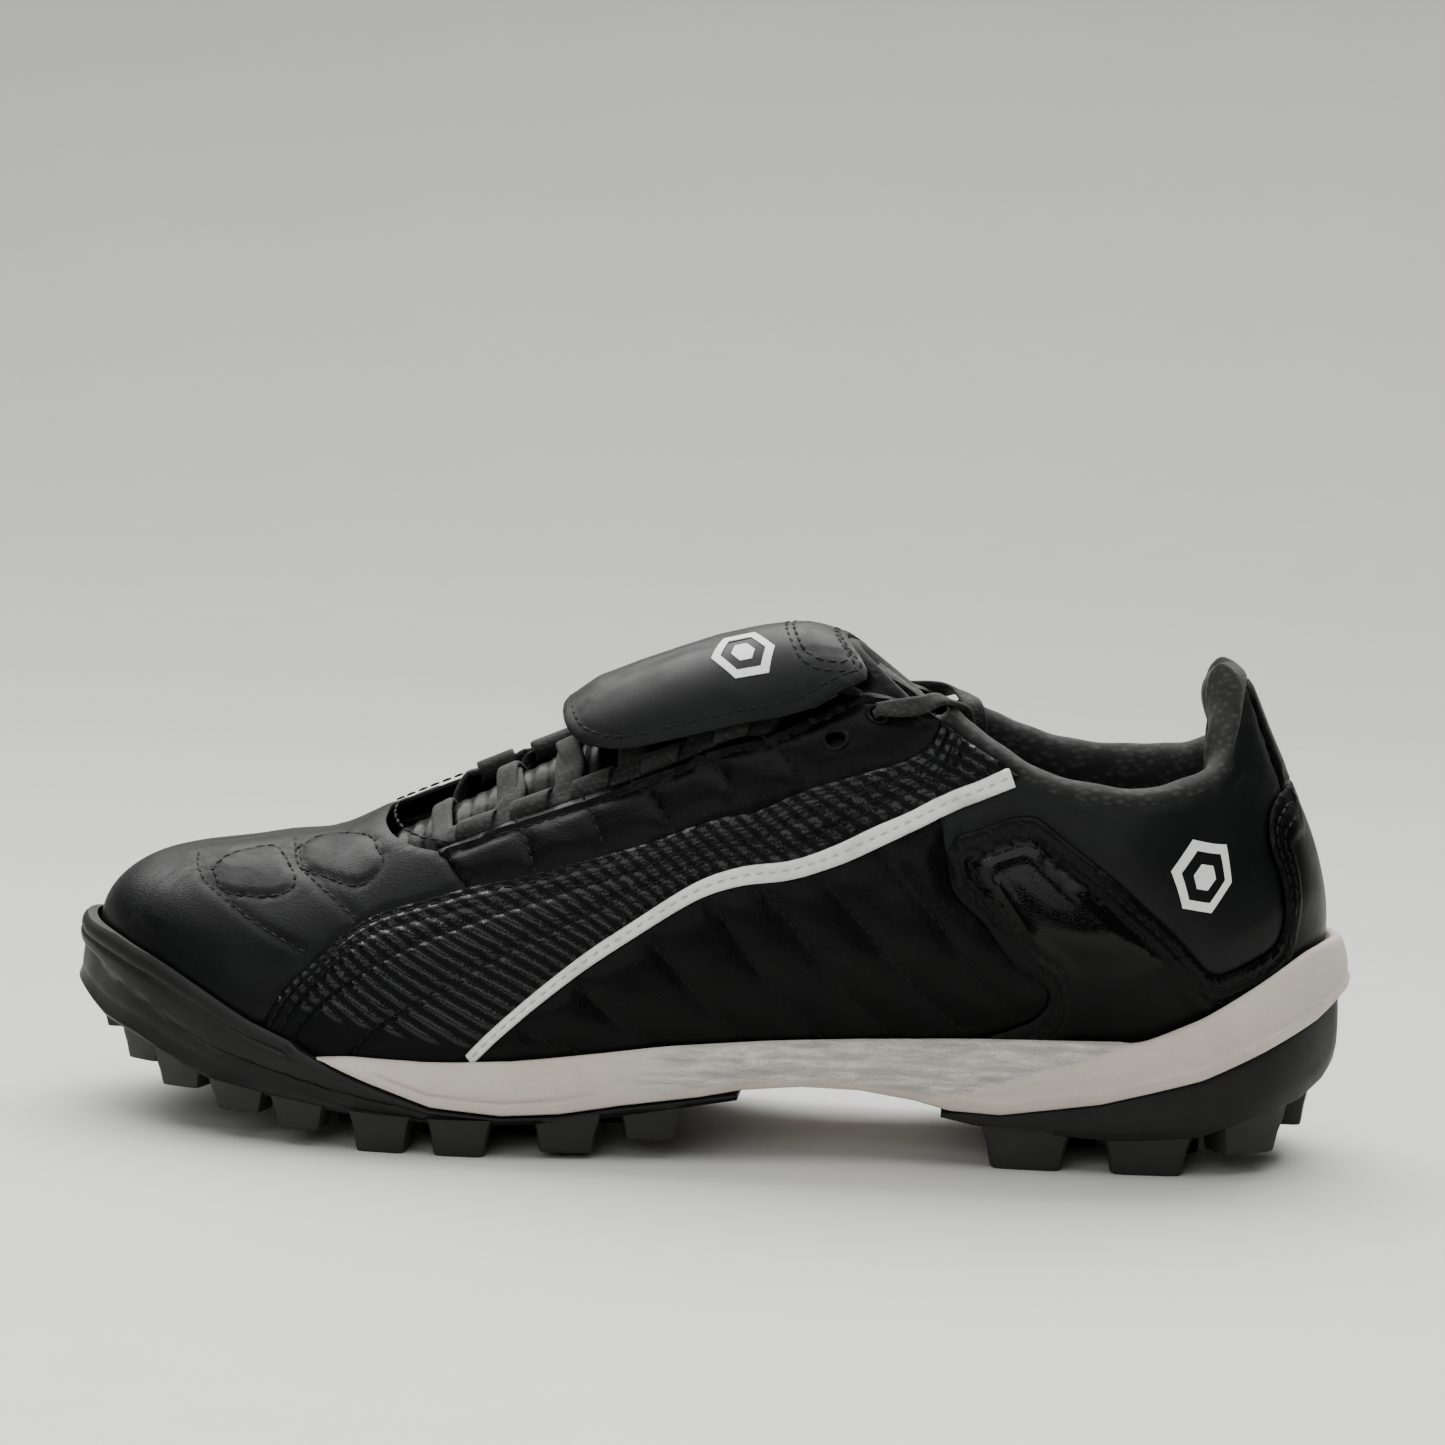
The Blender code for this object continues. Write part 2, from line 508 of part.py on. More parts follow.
def make_outsole(name, us, rubber_top, lugs, toe):
    u = np.asarray(us, float)
    so = sole_out(u)
    outer = edge_xy(u, so)
    x = outer[:, 0]
    inner = edge_xy(u, so - RAND)
    tread = tread_z(x)
    zl = ledge_z(x)
    xc = edge_xy(u, so - RAND - .4)
    core = np.where(xc[:, 0] < 13.5, tread_z(xc[:, 0]) + 3.5, tread_z(xc[:, 0]) + 4.0)
    core = np.minimum(core, zl - .5)
    floor = core - .35
    if toe:
        tr = rim_t(u)
        p = surf(u, tr)
        zr = rim_z(p[:, 0])
        top = np.minimum(zr, zl - .6)
        high = top - tread
        at_rim = zr <= zl - .6
        lean = np.clip(.13 * (high - 6), 0, 3.0)
        lip = np.where(at_rim[:, None], skin(u, tr, .8), ring(inner, top))
        mid_in = np.where(at_rim, floor + (top - floor) * .45, floor + (top - floor) * .5)
        rim_out = np.where(at_rim[:, None], ring(np.maximum(0, 0) + edge_xy(u, so - lean), top), ring(outer, top))
    else:
        top = np.minimum(zl - .35, 40)
        high = top - tread
        lip = ring(inner, top)
        mid_in = floor + (top - floor) * .5
        rim_out = ring(outer, top)
    for end in (0, -1):
        top[end] = floor[end] + .12
        mid_in[end] = floor[end] + .06
        lip[end, 2] = rim_out[end, 2] = top[end]
    rings = [ring(edge_xy(u, so - 3.2), tread), ring(edge_xy(u, so - .5), tread + np.minimum(1.6, high * .4)), ring(outer, tread + high * .62), rim_out, lip, ring(inner, mid_in), ring(inner, floor)]
    base = rings_solid(name, rings, "rubber", open_ends=True)
    points, faces = [], []
    for cx, cy, lx, ly, z, turn in lugs:
        n = len(points)
        c, s = math.cos(math.radians(turn)), math.sin(math.radians(turn))
        for level in range(2):
            k = 1.0 if level else .80
            for sx, sy in ((-1, -.62), (-.62, -1), (.62, -1), (1, -.62), (1, .62), (.62, 1), (-.62, 1), (-1, .62)):
                px, py = sx * lx / 2 * k, sy * ly / 2 * k
                px, py = cx + px * c - py * s, cy + px * s + py * c
                points.append((px, py, float(tread_z(px)) + 1.0 if level else z))
        faces += [tuple(n + i for i in range(7, -1, -1)), tuple(n + 8 + i for i in range(8))]
        faces += [(n + i, n + (i + 1) % 8, n + 8 + (i + 1) % 8, n + 8 + i) for i in range(8)]
    cutter = build(name + "_lugs", points, faces, "rubber", 0)
    cutter.hide_render = True
    cutter.display_type = "WIRE"
    join = base.modifiers.new("lugs", "BOOLEAN")
    join.operation = "UNION"
    join.solver = "EXACT"
    join.object = cutter
    return base


# lug: centre x, y; length, width; face height; turn in degrees
FORE_LUGS = [
    (-137.5, -9, 8, 8, 19.0, 0), (-137.5, 14, 8, 8, 19.0, 0), (-128, -21, 11, 9, 13.8, -32), (-127.5, 28, 11, 9, 13.8, 32), (-131, 3, 9, 10, 15.0, 0),
    (-117.5, -30.5, 12, 10, 10.0, -20), (-118, 36, 12, 10, 10.0, 20), (-102.5, -38, 13.5, 11, 6.6, -14), (-102.5, 40.5, 13.5, 11, 6.6, 12), (-88, -42, 12.5, 11, 4.0, -8), (-88, 43, 12.5, 11, 4.0, 6),
    (-69, -44, 14, 11, 0, -3), (-69, 45, 14, 11, 0, 2), (-51, -44.5, 14.5, 11, 0, 2), (-51, 43.5, 14.5, 11, 0, -3), (-27, -41.5, 15, 11, 1.5, 7), (-27, 38.5, 15, 11, 1.5, -9), (-8, -38, 14, 10, 4.6, 8), (-8, 34.5, 14, 10, 4.6, -9),
    (-116, -8, 12, 12, 10.2, 0), (-116, 14, 12, 12, 10.2, 0), (-97, -16, 12, 12, 5.6, 0), (-97, 3, 12, 12, 5.6, 0), (-97, 22, 12, 12, 5.6, 0), (-78, -21, 12, 13, 1.9, 0), (-78, 1, 12, 13, 1.9, 0), (-78, 23, 12, 13, 1.9, 0),
    (-58, -21, 12, 13, 0, 0), (-58, 1, 12, 13, 0, 0), (-58, 22, 12, 13, 0, 0), (-38, -19, 12, 13, .6, 0), (-38, 1, 12, 13, .6, 0), (-38, 20, 12, 13, .6, 0), (-17, -14, 12, 12, 3.1, 0), (-17, 10, 12, 12, 3.1, 0),
]
HEEL_LUGS = [
    (78.6, -28, 20, 12, 0, 0), (78.6, 26.5, 20, 12, 0, 0), (106, -27.5, 20, 12, 0, 4), (106, 25.5, 20, 12, 0, -4), (127.5, -22, 17, 12, 5.0, 34), (127.5, 20.5, 17, 12, 5.0, -34),
    (137.5, 0, 11, 16, 8.0, 0), (88, -1, 15, 13, 0, 0), (112, -1, 15, 13, 0, 0),
]

make_midsole()
make_outsole("forefoot_outsole", np.arange(8.5, 23.6, .5), None, FORE_LUGS, True)
make_outsole("heel_outsole", np.arange(-5.5, 5.6, .5), None, HEEL_LUGS, False)

# ---- upper: outer pieces ---------------------------------------------------------------------------------------------
SKIN_IN = SKIN_OUT - LEATHER


def bottom_edge(a, b):
    """Points along the bottom rail from u = a to u = b, at the sole's stations."""
    low, high = min(a, b), max(a, b)
    us = [k * .5 for k in range(-40, 80) if low + .12 < k * .5 < high - .12]
    return [(u, 0.0) for u in (us if a < b else us[::-1])]


def both(line):
    return [tuple(p) for p in line]


vamp = both(SIDE_SEAM_A) + [(11.6, .56)] + THROAT_L[:1] + THROAT_FRONT + THROAT_M[:1] + [(-11.6, .75), (-11.5, .62)] + both(medial(SIDE_SEAM_A)) + bottom_edge(18.6, 13.4)
panel("vamp", vamp, SKIN_IN, SKIN_OUT, "satin_leather")
panel("eyestay_lateral", both(SIDE_SEAM_B) + both(THROAT_L[::-1]) + [(11.6, .56)], SKIN_IN, SKIN_OUT, "gloss_leather", holes=[(*e, EYELET_R) for e in EYELETS_L])
panel("eyestay_medial", both(medial(SIDE_SEAM_B)) + [(-11.5, .62), (-11.6, .75)] + both(THROAT_M), SKIN_IN, SKIN_OUT, "gloss_leather", holes=[(*e, EYELET_R) for e in EYELETS_M])
side = both(SIDE_SEAM_A) + both(SIDE_SEAM_B)[1:] + [(6.2, 1)] + both(PIPING_B[::-1]) + both(PIPING_A[::-1])[1:] + bottom_edge(11.3, 13.4)
saddle = both(PIPING_A) + both(COUNTER_A[::-1]) + bottom_edge(5.0, 11.3)
ankle = both(PIPING_B) + [(u, 1.0) for u in (5, 4.5, 4, 3.5, 3, 2.5, 2, 1.5, 1.1)] + STRAP_EDGE[::-1] + both(COUNTER_B[::-1])[1:]
for side_name, pick in (("lateral", both), ("medial", lambda line: both(medial(line)))):
    panel("side_panel_" + side_name, pick(side), SKIN_IN, SKIN_OUT, "embossed_panel")
    panel("saddle_" + side_name, pick(saddle), SKIN_IN, SKIN_OUT, "gloss_leather")
    panel("ankle_quarter_" + side_name, pick(ankle), SKIN_IN, SKIN_OUT, "satin_leather")
counter = both(COUNTER_A) + both(COUNTER_B)[1:] + [(0, .71)] + both(medial(COUNTER_B)) + both(medial(COUNTER_A))[1:] + bottom_edge(-5.0, 5.0)
panel("heel_counter", counter, SKIN_IN, SKIN_OUT, "moulded_counter", step=10, edge=9)
panel("back_strap", STRAP_EDGE + [(0, 1)] + both(medial(STRAP_EDGE)) + [(0, .71)], SKIN_IN, SKIN_OUT, "gloss_leather")


def strip(name, line, width, low, high, slot, step=10.0):
    """Band of one width along a (u, t) line."""
    p = resample(flat(line), step)
    d = unit(np.gradient(p, axis=0))
    n = np.stack([-d[:, 1], d[:, 0]], -1) * width / 2
    a, b = UPPER.back(p + n), UPPER.back(p - n)
    rings = [np.array([skin(*[v[k] for v in a], high), skin(*[v[k] for v in b], high), skin(*[v[k] for v in b], low), skin(*[v[k] for v in a], low)]) for k in range(len(p))]
    return loft(name, rings, slot)


pipe_line = [(u, t) for u, t in PIPING_A + PIPING_B[1:] if t > .075]
pipe_line[-1] = (5.56, .985)
strip("piping_lateral", pipe_line, 2.4, OVERLAY_IN, OVERLAY_IN + .9, "white_trim")
strip("piping_medial", medial(pipe_line), 2.4, OVERLAY_IN, OVERLAY_IN + .9, "white_trim")

# ---- upper: inside ---------------------------------------------------------------------------------------------------
puff = [(13.7, .06), (13.7, .3), (13.7, .6), (13.7, .9), (-13.7, .9), (-13.7, .6), (-13.7, .3), (-13.7, .06)] + [(u, .06) for u in np.arange(18, 13.9, -.5)]
panel("toe_puff", puff, BOARD_IN, BOARD_OUT, "board", step=11, edge=10)
stiff = [(4.2, .10), (4.2, .3), (3.9, .44), (3, .5), (2, .52), (1, .52), (0, .52), (-1, .52), (-2, .52), (-3, .5), (-3.9, .44), (-4.2, .3), (-4.2, .10)] + [(u, .10) for u in np.arange(-3.5, 3.9, .5)]
panel("heel_stiffener", stiff, BOARD_IN, BOARD_OUT, "board", step=11, edge=10)

# the vamp lining runs under the vamp, the side panels' front and the eyestays, and is open at the throat
lining_low = [(7.35, 0), (7.35, .2), (7.35, .4), (7.35, .6), (7.35, .8), (7.35, .95)]
lining_throat = [(7.72, .80), (8.1, .76), (8.4, .62), (8.87, .53), (9.2, .51), (10.2, .50), (11.1, .50), (11.72, .50), (12.2, .58), (12.5, .70), (12.62, .83), (12.64, .93),
                 (-12.64, .93), (-12.5, .84), (-12.2, .78), (-11.72, .73), (-11.1, .71), (-10.2, .70), (-9.2, .69), (-8.87, .70), (-8.4, .72), (-8.1, .79), (-7.72, .83)]
vamp_lining = lining_low + lining_throat + [(-7.35, .95), (-7.35, .8), (-7.35, .6), (-7.35, .4), (-7.35, .2), (-7.35, 0)] + bottom_edge(NR - 7.35, 7.35)
panel("vamp_lining", vamp_lining, LINING_IN, LINING_OUT, "textile", step=14)

COLLAR_US = [k * .5 for k in range(-16, 17)]


def pad(u):
    """How much thicker the collar is at the heel and how it fades to the front."""
    return (1 + .45 * math.exp(-(u / 1.3) ** 2)) * (1 - .45 * max(0, (abs(u) - 6.4) / 1.6))


def section(u, rows):
    """Ring of skin points from (t, d) rows; d is scaled with the collar's padding past the lining."""
    k = pad(u)
    return np.array([skin(u, t, d if d > -4.8 else -4.8 + (d + 4.8) * k) for t, d in rows])


lining_rows = [(0, LINING_OUT), (.15, LINING_OUT - .3), (.3, LINING_OUT - .6), (.45, LINING_OUT - .6), (.57, LINING_OUT - .3), (.66, -4.6), (.80, -8.2), (.97, -8.2), (1.012, -7.2), (1.026, -4.8), (1.014, -2.8), (1.008, -2.2),
               (1.008, -.7), (1.024, -1.2), (1.04, -4.8), (1.022, -8.6), (.975, -9.3), (.80, -9.3), (.66, -5.8), (.57, LINING_IN - .3), (.45, LINING_IN - .6), (.3, LINING_IN - .6), (.15, LINING_IN - .3), (0, LINING_IN)]
loft("collar_lining", [section(u, lining_rows) for u in COLLAR_US if abs(u) < 7.2], "textile")
foam_rows = [(.72, -2.3), (.85, -2.3), (.985, -2.3), (1.006, -3.2), (1.016, -4.8), (1.004, -6.8), (.965, -7.8), (.82, -7.8), (.74, -5.6)]
loft("collar_foam", [section(u, foam_rows) for u in COLLAR_US if abs(u) < 6.9], "foam")


def plate(name, low, high, inset, slot, us, step=15.0):
    """Flat inner sole piece, its edge this far inside the bottom rail."""
    outline = edge_xy(np.array(us), -inset)

    def at(xy, d):
        return np.concatenate([xy, (footbed(xy[:, 0]) + d)[:, None]], -1)

    return shell(name, outline, at, low, high, slot, step)


PLATE_US = [k * .75 for k in range(43)][:43]
plate("insole_board", .1, 1.9, 6.6, "board", np.arange(44) * NR / 44)
plate("sockliner", 2.3, lambda xy: 5.8 + np.clip((xy[:, 0] - 60) / 80, 0, 1) * 1.5, 7.2, "sockliner", np.arange(44) * NR / 44)

# ---- tongue ----------------------------------------------------------------------------------------------------------
# rows: x and z of the middle line, half-width, drop of the sides, how far the sides lie back
TONGUE = np.array([
    (-84, 60.5, 19, 16, 5),
    (-74, 66.5, 20, 19, 6),
    (-60, 74.5, 19.5, 23, 8),
    (-37, 86.0, 19, 26, 9),
    (-6, 101.0, 18.5, 29, 10),
    (10, 108.4, 15.5, 27, 12),
    (20, 113.0, 13.0, 23, 14),
    (25, 116.0, 12.2, 20, 16),
    (30, 117.3, 12.0, 18, 18),
    (34, 117.1, 12.6, 16.5, 19),
], float)
TONGUE_Y = np.array([(-84, -3), (-37, -4), (10, -3), (34, -1.5)], float)


def arch(rows, ys, spread_deg):
    def at(xq, d):
        x, q = xq[:, 0], xq[:, 1]

        def place(x, q):
            z, w, drop, lie = [np.interp(x, rows[:, 0], rows[:, k]) for k in (1, 2, 3, 4)]
            y0 = np.interp(x, ys[:, 0], ys[:, 1])
            top = math.radians(spread_deg)
            a = q / 25.0 * top
            share = (1 - np.cos(a)) / (1 - math.cos(top))
            return np.stack([x + lie * share, y0 + w * np.sin(a) / math.sin(top), z - drop * share], -1)

        p = place(x, q)
        du = place(x + .5, q) - place(x - .5, q)
        dv = place(x, q + .2) - place(x, q - .2)
        return p + unit(np.cross(du, dv)) * np.asarray(d)[:, None]
    return at


tongue_at = arch(TONGUE, TONGUE_Y, 82)


def rounded(x0, x1, q0, q1, r, n=3):
    """Outline of a rectangle with rounded corners; r is the radius at (x0, q0), (x1, q0), (x1, q1), (x0, q1)."""
    out = []
    for (cx, cy), (sx, sy), start, rad in zip(((x0, q0), (x1, q0), (x1, q1), (x0, q1)), ((1, 1), (-1, 1), (-1, -1), (1, -1)), (180, 270, 0, 90), r):
        for k in range(n + 1):
            a = math.radians(start + 90 * k / n)
            out.append((cx + sx * rad + rad * math.cos(a), cy + sy * rad + rad * math.sin(a)))
    return np.array(out)


outline = resample(rounded(-83, 33.5, -25, 25, (9, 5, 5, 9)), 10, closed=True)
shell("tongue_cover", outline, tongue_at, -1.2, 0, "patent", 11)
shell("tongue_foam", outline, tongue_at, -5.3, -1.6, "foam", 11)
shell("tongue_lining", outline, tongue_at, -6.7, -5.7, "textile", 11)

# ---- fold-over flap --------------------------------------------------------------------------------------------------
FLAP = np.array([
    (-36, 99.5, 25, 14.4, 2),
    (-27, 106.0, 25, 15.4, 3),
    (-17, 110.4, 25, 16.4, 5),
    (-8, 113.8, 25, 16.8, 7),
    (1, 116.9, 25, 16.8, 9),
    (11, 119.4, 23.4, 17.0, 11),
    (18, 120.6, 22.6, 16.2, 13),
    (22, 120.9, 22, 16.0, 14),
    (26, 120.4, 21, 15.4, 15),
    (32, 119.0, 20, 14.6, 16),
], float)
FLAP_Y = np.array([(-36, .5), (10, .5), (36, 0)], float)
flap_at = arch(FLAP, FLAP_Y, 74)


def stadium(x0, x1, half, n=10):
    """Outline with a blunt round front end at x0 and a straight end at x1."""
    r = 19.0
    front = []
    for a in np.linspace(-math.pi / 2, math.pi / 2, n + 1):
        c, s = math.cos(a), math.sin(a)
        front.append((x0 + r - r * c ** .75, half * abs(s) ** .75 * (1 if s > 0 else -1)))
    corner = [(x1 - 8, half), (x1 - 3, half - 2), (x1 - .6, half - 5), (x1, half - 8)]
    return np.array(front + corner + [(x, -q) for x, q in corner[::-1]])


shell("flap_cover", resample(stadium(-35, FLAP_FOLD_X, 25)[::-1], 9, closed=True), flap_at, -1.2, 0, "satin_leather", 11)
shell("flap_backing", resample(stadium(-35, FLAP_FOLD_X, 25)[::-1], 9, closed=True), flap_at, -3.6, -1.6, "felt", 11)
patch = resample(rounded(FLAP_FOLD_X + 3.2, 31.2, -20, 20, (1, 3, 3, 1)), 9, closed=True)
shell("flap_anchor", patch, flap_at, -1.2, 0, "satin_leather", 9)

# ---- laces -----------------------------------------------------------------------------------------------------------
ROW_X = (-53, -40, -26, -10, 6)        # rows of webbing loops, front to back
ROW_RISE = 100.0


def throat_at(x, side):
    """(u, t) of the throat edge at this x: side 1 is lateral, -1 is medial."""
    line = np.array(THROAT_L if side > 0 else THROAT_M)
    u = np.interp(np.linspace(0, 1, 200), np.linspace(0, 1, len(line)), line[:, 0])
    t = np.interp(np.linspace(0, 1, 200), np.linspace(0, 1, len(line)), line[:, 1])
    k = np.abs(surf(u, t)[:, 0] - x).argmin()
    return float(u[k]), float(t[k])


def rise(u, t):
    return float(np.linalg.norm(surf(u, t + .02) - surf(u, t - .02)) / .04)


def sweep(name, path, ups, wide, thick, slot, smooth=40):
    """Flat band or cord along a path; ups gives the direction of its thickness at each point."""
    path, ups = np.asarray(path, float), np.asarray(ups, float)
    wide, thick = np.broadcast_to(wide, len(path)), np.broadcast_to(thick, len(path))
    tangent = unit(np.gradient(path, axis=0))
    across = unit(np.cross(tangent, ups))
    up = unit(np.cross(across, tangent))
    rings = []
    for p, a, n, w, t in zip(path, across, up, wide, thick):
        rings.append([p + a * w / 2 * x + n * t / 2 * y for x, y in ((1, 0), (.75, 1), (-.75, 1), (-1, 0), (-.75, -1), (.75, -1))])
    return loft(name, rings, slot, smooth=smooth)


loop_shape = [(-2.2, -2.25), (.6, -2.25), (1.1, -.5), (2.6, .75), (5.3, .65), (7.1, -1.15), (5.5, -3.05), (2.9, -3.45), (.7, -3.2), (-2.2, -3.2)]


def lace_loop(name, x, side):
    """Folded webbing loop held under the eyestay's edge."""
    u, t = throat_at(x, side)
    k = rise(u, t)
    half = .14
    mid = np.array(loop_shape)
    d = unit(np.gradient(mid, axis=0))
    n = np.stack([-d[:, 1], d[:, 0]], -1)
    outer, inner = mid - n * .25, mid + n * .25
    ring2 = np.vstack([outer, inner[::-1]])
    rings = [[skin(u + du * (1 if side > 0 else -1), t + s / k, h) for s, h in ring2] for du in (-half, half)]
    return loft(name, rings, "lace", smooth=30)


for side_name, side in (("lateral", 1), ("medial", -1)):
    for k, x in enumerate(ROW_X):
        lace_loop(f"lace_loop_{side_name}_{k + 1}", x, side)


def loop_pass(x, side, forward):
    """Points of the lace inside one loop with their upward directions, in its direction of travel."""
    u, t = throat_at(x, side)
    s = t + 3.9 / rise(u, t)
    points = [(skin(u + du * side, s, -1.2), skin(u + du * side, s, 0) - skin(u + du * side, s, -1)) for du in (-.27, -.13, .13, .27)]
    points.sort(key=lambda p: p[0][0])
    return points if forward else points[::-1]


def on_tongue(x, q, high):
    """Point of a strand over the tongue and its upward direction."""
    xq = np.array([[x, q]], float)
    return tongue_at(xq, np.array([high]))[0], (tongue_at(xq, np.array([1.0])) - tongue_at(xq, np.array([0.0])))[0]


def strand(xa, xb, side, high, reach=9.0):
    """Points of one strand that crosses the tongue from this side to the other."""
    return [on_tongue(xa + (xb - xa) * f, -side * reach * (1 - 2 * f) / .4, h) for f, h in ((.3, 1.4), (.5, high), (.7, 1.4))]


def eyelet_pass(u, t, outward):
    """Points through an eyelet. The band stands on edge there, with its thickness along the shoe."""
    sign = 1 if u > 0 else -1
    lie = skin(u - .1, t, 0) - skin(u + .1, t, 0)
    near = (skin(u + .16 * sign, t + .04, -3.0), skin(u, t, 0) - skin(u, t, -1))
    points = [near] + [(skin(u, t, d), lie) for d in (-2.2, -.6, 1.2, 2.4)]
    return points if outward else points[::-1]


def lace_path():
    """One criss-cross lace, from the lateral top eyelet to the medial top eyelet: points and upward directions."""
    path = eyelet_pass(*EYELETS_L[1], False)
    side = 1
    last = len(ROW_X) - 1
    for k in range(last, -1, -1):
        before = 26 if k == last else ROW_X[k + 1] - 4
        path += strand(before, ROW_X[k] + 5, side, 1.25)
        side = -side
        path += loop_pass(ROW_X[k], side, False)
    path += strand(ROW_X[0] - 9, ROW_X[0] - 9, side, 1.3)
    side = -side
    path += loop_pass(ROW_X[0], side, True)
    for k in range(1, last + 1):
        path += strand(ROW_X[k - 1] + 5, ROW_X[k] - 4, side, 3.0)
        side = -side
        path += loop_pass(ROW_X[k], side, True)
    path += strand(ROW_X[-1] + 5, 26, side, 3.0)
    path += eyelet_pass(*EYELETS_M[1], True)
    return np.array([p for p, _ in path]), unit(np.array([n for _, n in path]))


LACE, LACE_UP = lace_path()
ends = np.minimum(np.arange(len(LACE)), np.arange(len(LACE))[::-1])
sweep("lace", LACE, LACE_UP, np.interp(ends, [0, 4, 5], [2.0, 2.0, 2.6]), np.interp(ends, [0, 4, 5], [1.5, 1.5, 1.1]), "lace")


def tail(side_name, side):
    """Free end of the lace: from the top eyelet over the collar's front corner and down inside, with its aglet."""
    u, t = (EYELETS_L if side > 0 else EYELETS_M)[1]
    out = skin(u, t, 3.4)
    rows = [out, skin(side * 7.7, .93, 3.6), skin(side * 7.35, 1.0, 3.4), skin(side * 6.95, 1.07, -1.0), skin(side * 6.75, 1.035, -11.2), skin(side * 6.5, .90, -12.2), skin(side * 6.3, .78, -12.4),
            skin(side * 6.1, .66, -12.0), skin(side * 5.95, .56, -11.0), skin(side * 5.85, .48, -9.6)]
    rows = np.array(rows)
    ups = []
    for k, p in enumerate(rows):
        if k < 3:
            n = skin(side * (7.9 - .3 * k), .93, 1) - skin(side * (7.9 - .3 * k), .93, 0)
        elif k == 3:
            n = np.array([.35, -.1 * side, 1.0])
        else:
            n = np.array([0, side * 1.0, .1])
        ups.append(n)
    ups = unit(np.array(ups))
    sweep("lace_tail_" + side_name, rows, ups, 4.2, 1.2, "lace")
    step = unit(np.array([.12, 0, -1.0]))
    start = rows[-1] + step * .5
    ring_rows = []
    a = unit(np.cross(step, np.array([0, 1.0, 0])))
    b = np.cross(step, a)
    for along, r in ((0, 1.3), (.6, 1.55), (17, 1.55), (18, 1.1)):
        ring_rows.append([start + step * along + (a * math.cos(q) + b * math.sin(q)) * r for q in np.arange(8) * math.tau / 8])
    loft("aglet_" + side_name, ring_rows, "aglet")


tail("lateral", 1)
tail("medial", -1)

# the flap turns about this line, which is its fold
hinge = bpy.data.objects.new("flap_hinge", None)
bpy.context.scene.collection.objects.link(hinge)
hinge.location = ((FLAP_FOLD_X + CENTRE_X) * MM, CENTRE_Y * MM, FLAP_FOLD_Z * MM)
bpy.context.view_layer.update()
for name in ("flap_cover", "flap_backing"):
    part = bpy.data.objects[name]
    part.parent = hinge
    part.matrix_parent_inverse = hinge.matrix_world.inverted()
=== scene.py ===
"""Looks of the left turf football shoe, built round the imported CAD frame.

Lengths are in millimetres in the design's own axes: toe at -X, lateral side at -Y, Z up. build() turns them into the
row frame in metres.
"""
import math

import bpy
import numpy as np
from mathutils import Matrix, Vector
from mathutils.geometry import delaunay_2d_cdt
from mathutils.bvhtree import BVHTree
from mathutils.kdtree import KDTree


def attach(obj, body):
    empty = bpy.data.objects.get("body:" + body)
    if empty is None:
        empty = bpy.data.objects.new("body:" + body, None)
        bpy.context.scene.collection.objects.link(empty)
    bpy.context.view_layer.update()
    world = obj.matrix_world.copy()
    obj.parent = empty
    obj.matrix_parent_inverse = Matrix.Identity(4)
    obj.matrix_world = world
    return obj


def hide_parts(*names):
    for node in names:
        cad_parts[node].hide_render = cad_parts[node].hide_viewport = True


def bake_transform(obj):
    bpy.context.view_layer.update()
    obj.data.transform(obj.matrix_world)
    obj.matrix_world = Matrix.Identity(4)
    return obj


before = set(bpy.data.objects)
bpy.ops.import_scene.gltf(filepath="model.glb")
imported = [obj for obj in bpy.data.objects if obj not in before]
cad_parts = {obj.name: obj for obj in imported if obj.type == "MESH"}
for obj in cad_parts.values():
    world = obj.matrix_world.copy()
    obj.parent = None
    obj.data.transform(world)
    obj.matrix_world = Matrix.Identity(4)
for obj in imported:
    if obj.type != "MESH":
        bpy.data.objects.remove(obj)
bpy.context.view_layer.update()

MM = 0.001
CENTRE = np.array([0.495, -0.237, 0.0])
SKIN_OUT, SKIN_IN = -0.1, -1.3
rng = np.random.default_rng(7)

# ---- camera, which looks from slightly behind and above the lateral side --------------------------------------------
AZ, EL, ROLL, DIST = math.radians(5), math.radians(8), math.radians(1.8), 1200.0
AIM = Vector((2.575, 0, 96.326)) + Vector(CENTRE)
back = Vector((math.sin(AZ) * math.cos(EL), -math.cos(AZ) * math.cos(EL), math.sin(EL)))
right = Vector((math.cos(AZ), math.sin(AZ), 0))
up = back.cross(right)
cam = bpy.data.objects.new("camera", bpy.data.cameras.new("camera"))
bpy.context.scene.collection.objects.link(cam)
cam.data.sensor_width = 36
cam.data.lens = 36 * 5100 / 1445
cx = right * math.cos(ROLL) + up * math.sin(ROLL)
cy = -right * math.sin(ROLL) + up * math.cos(ROLL)
turn = Matrix((cx, cy, back)).transposed()
cam.matrix_world = Matrix.Translation((AIM + back * DIST) * MM) @ turn.to_4x4()
cam.data.clip_start, cam.data.clip_end = 0.01, 20
bpy.context.scene.camera = cam

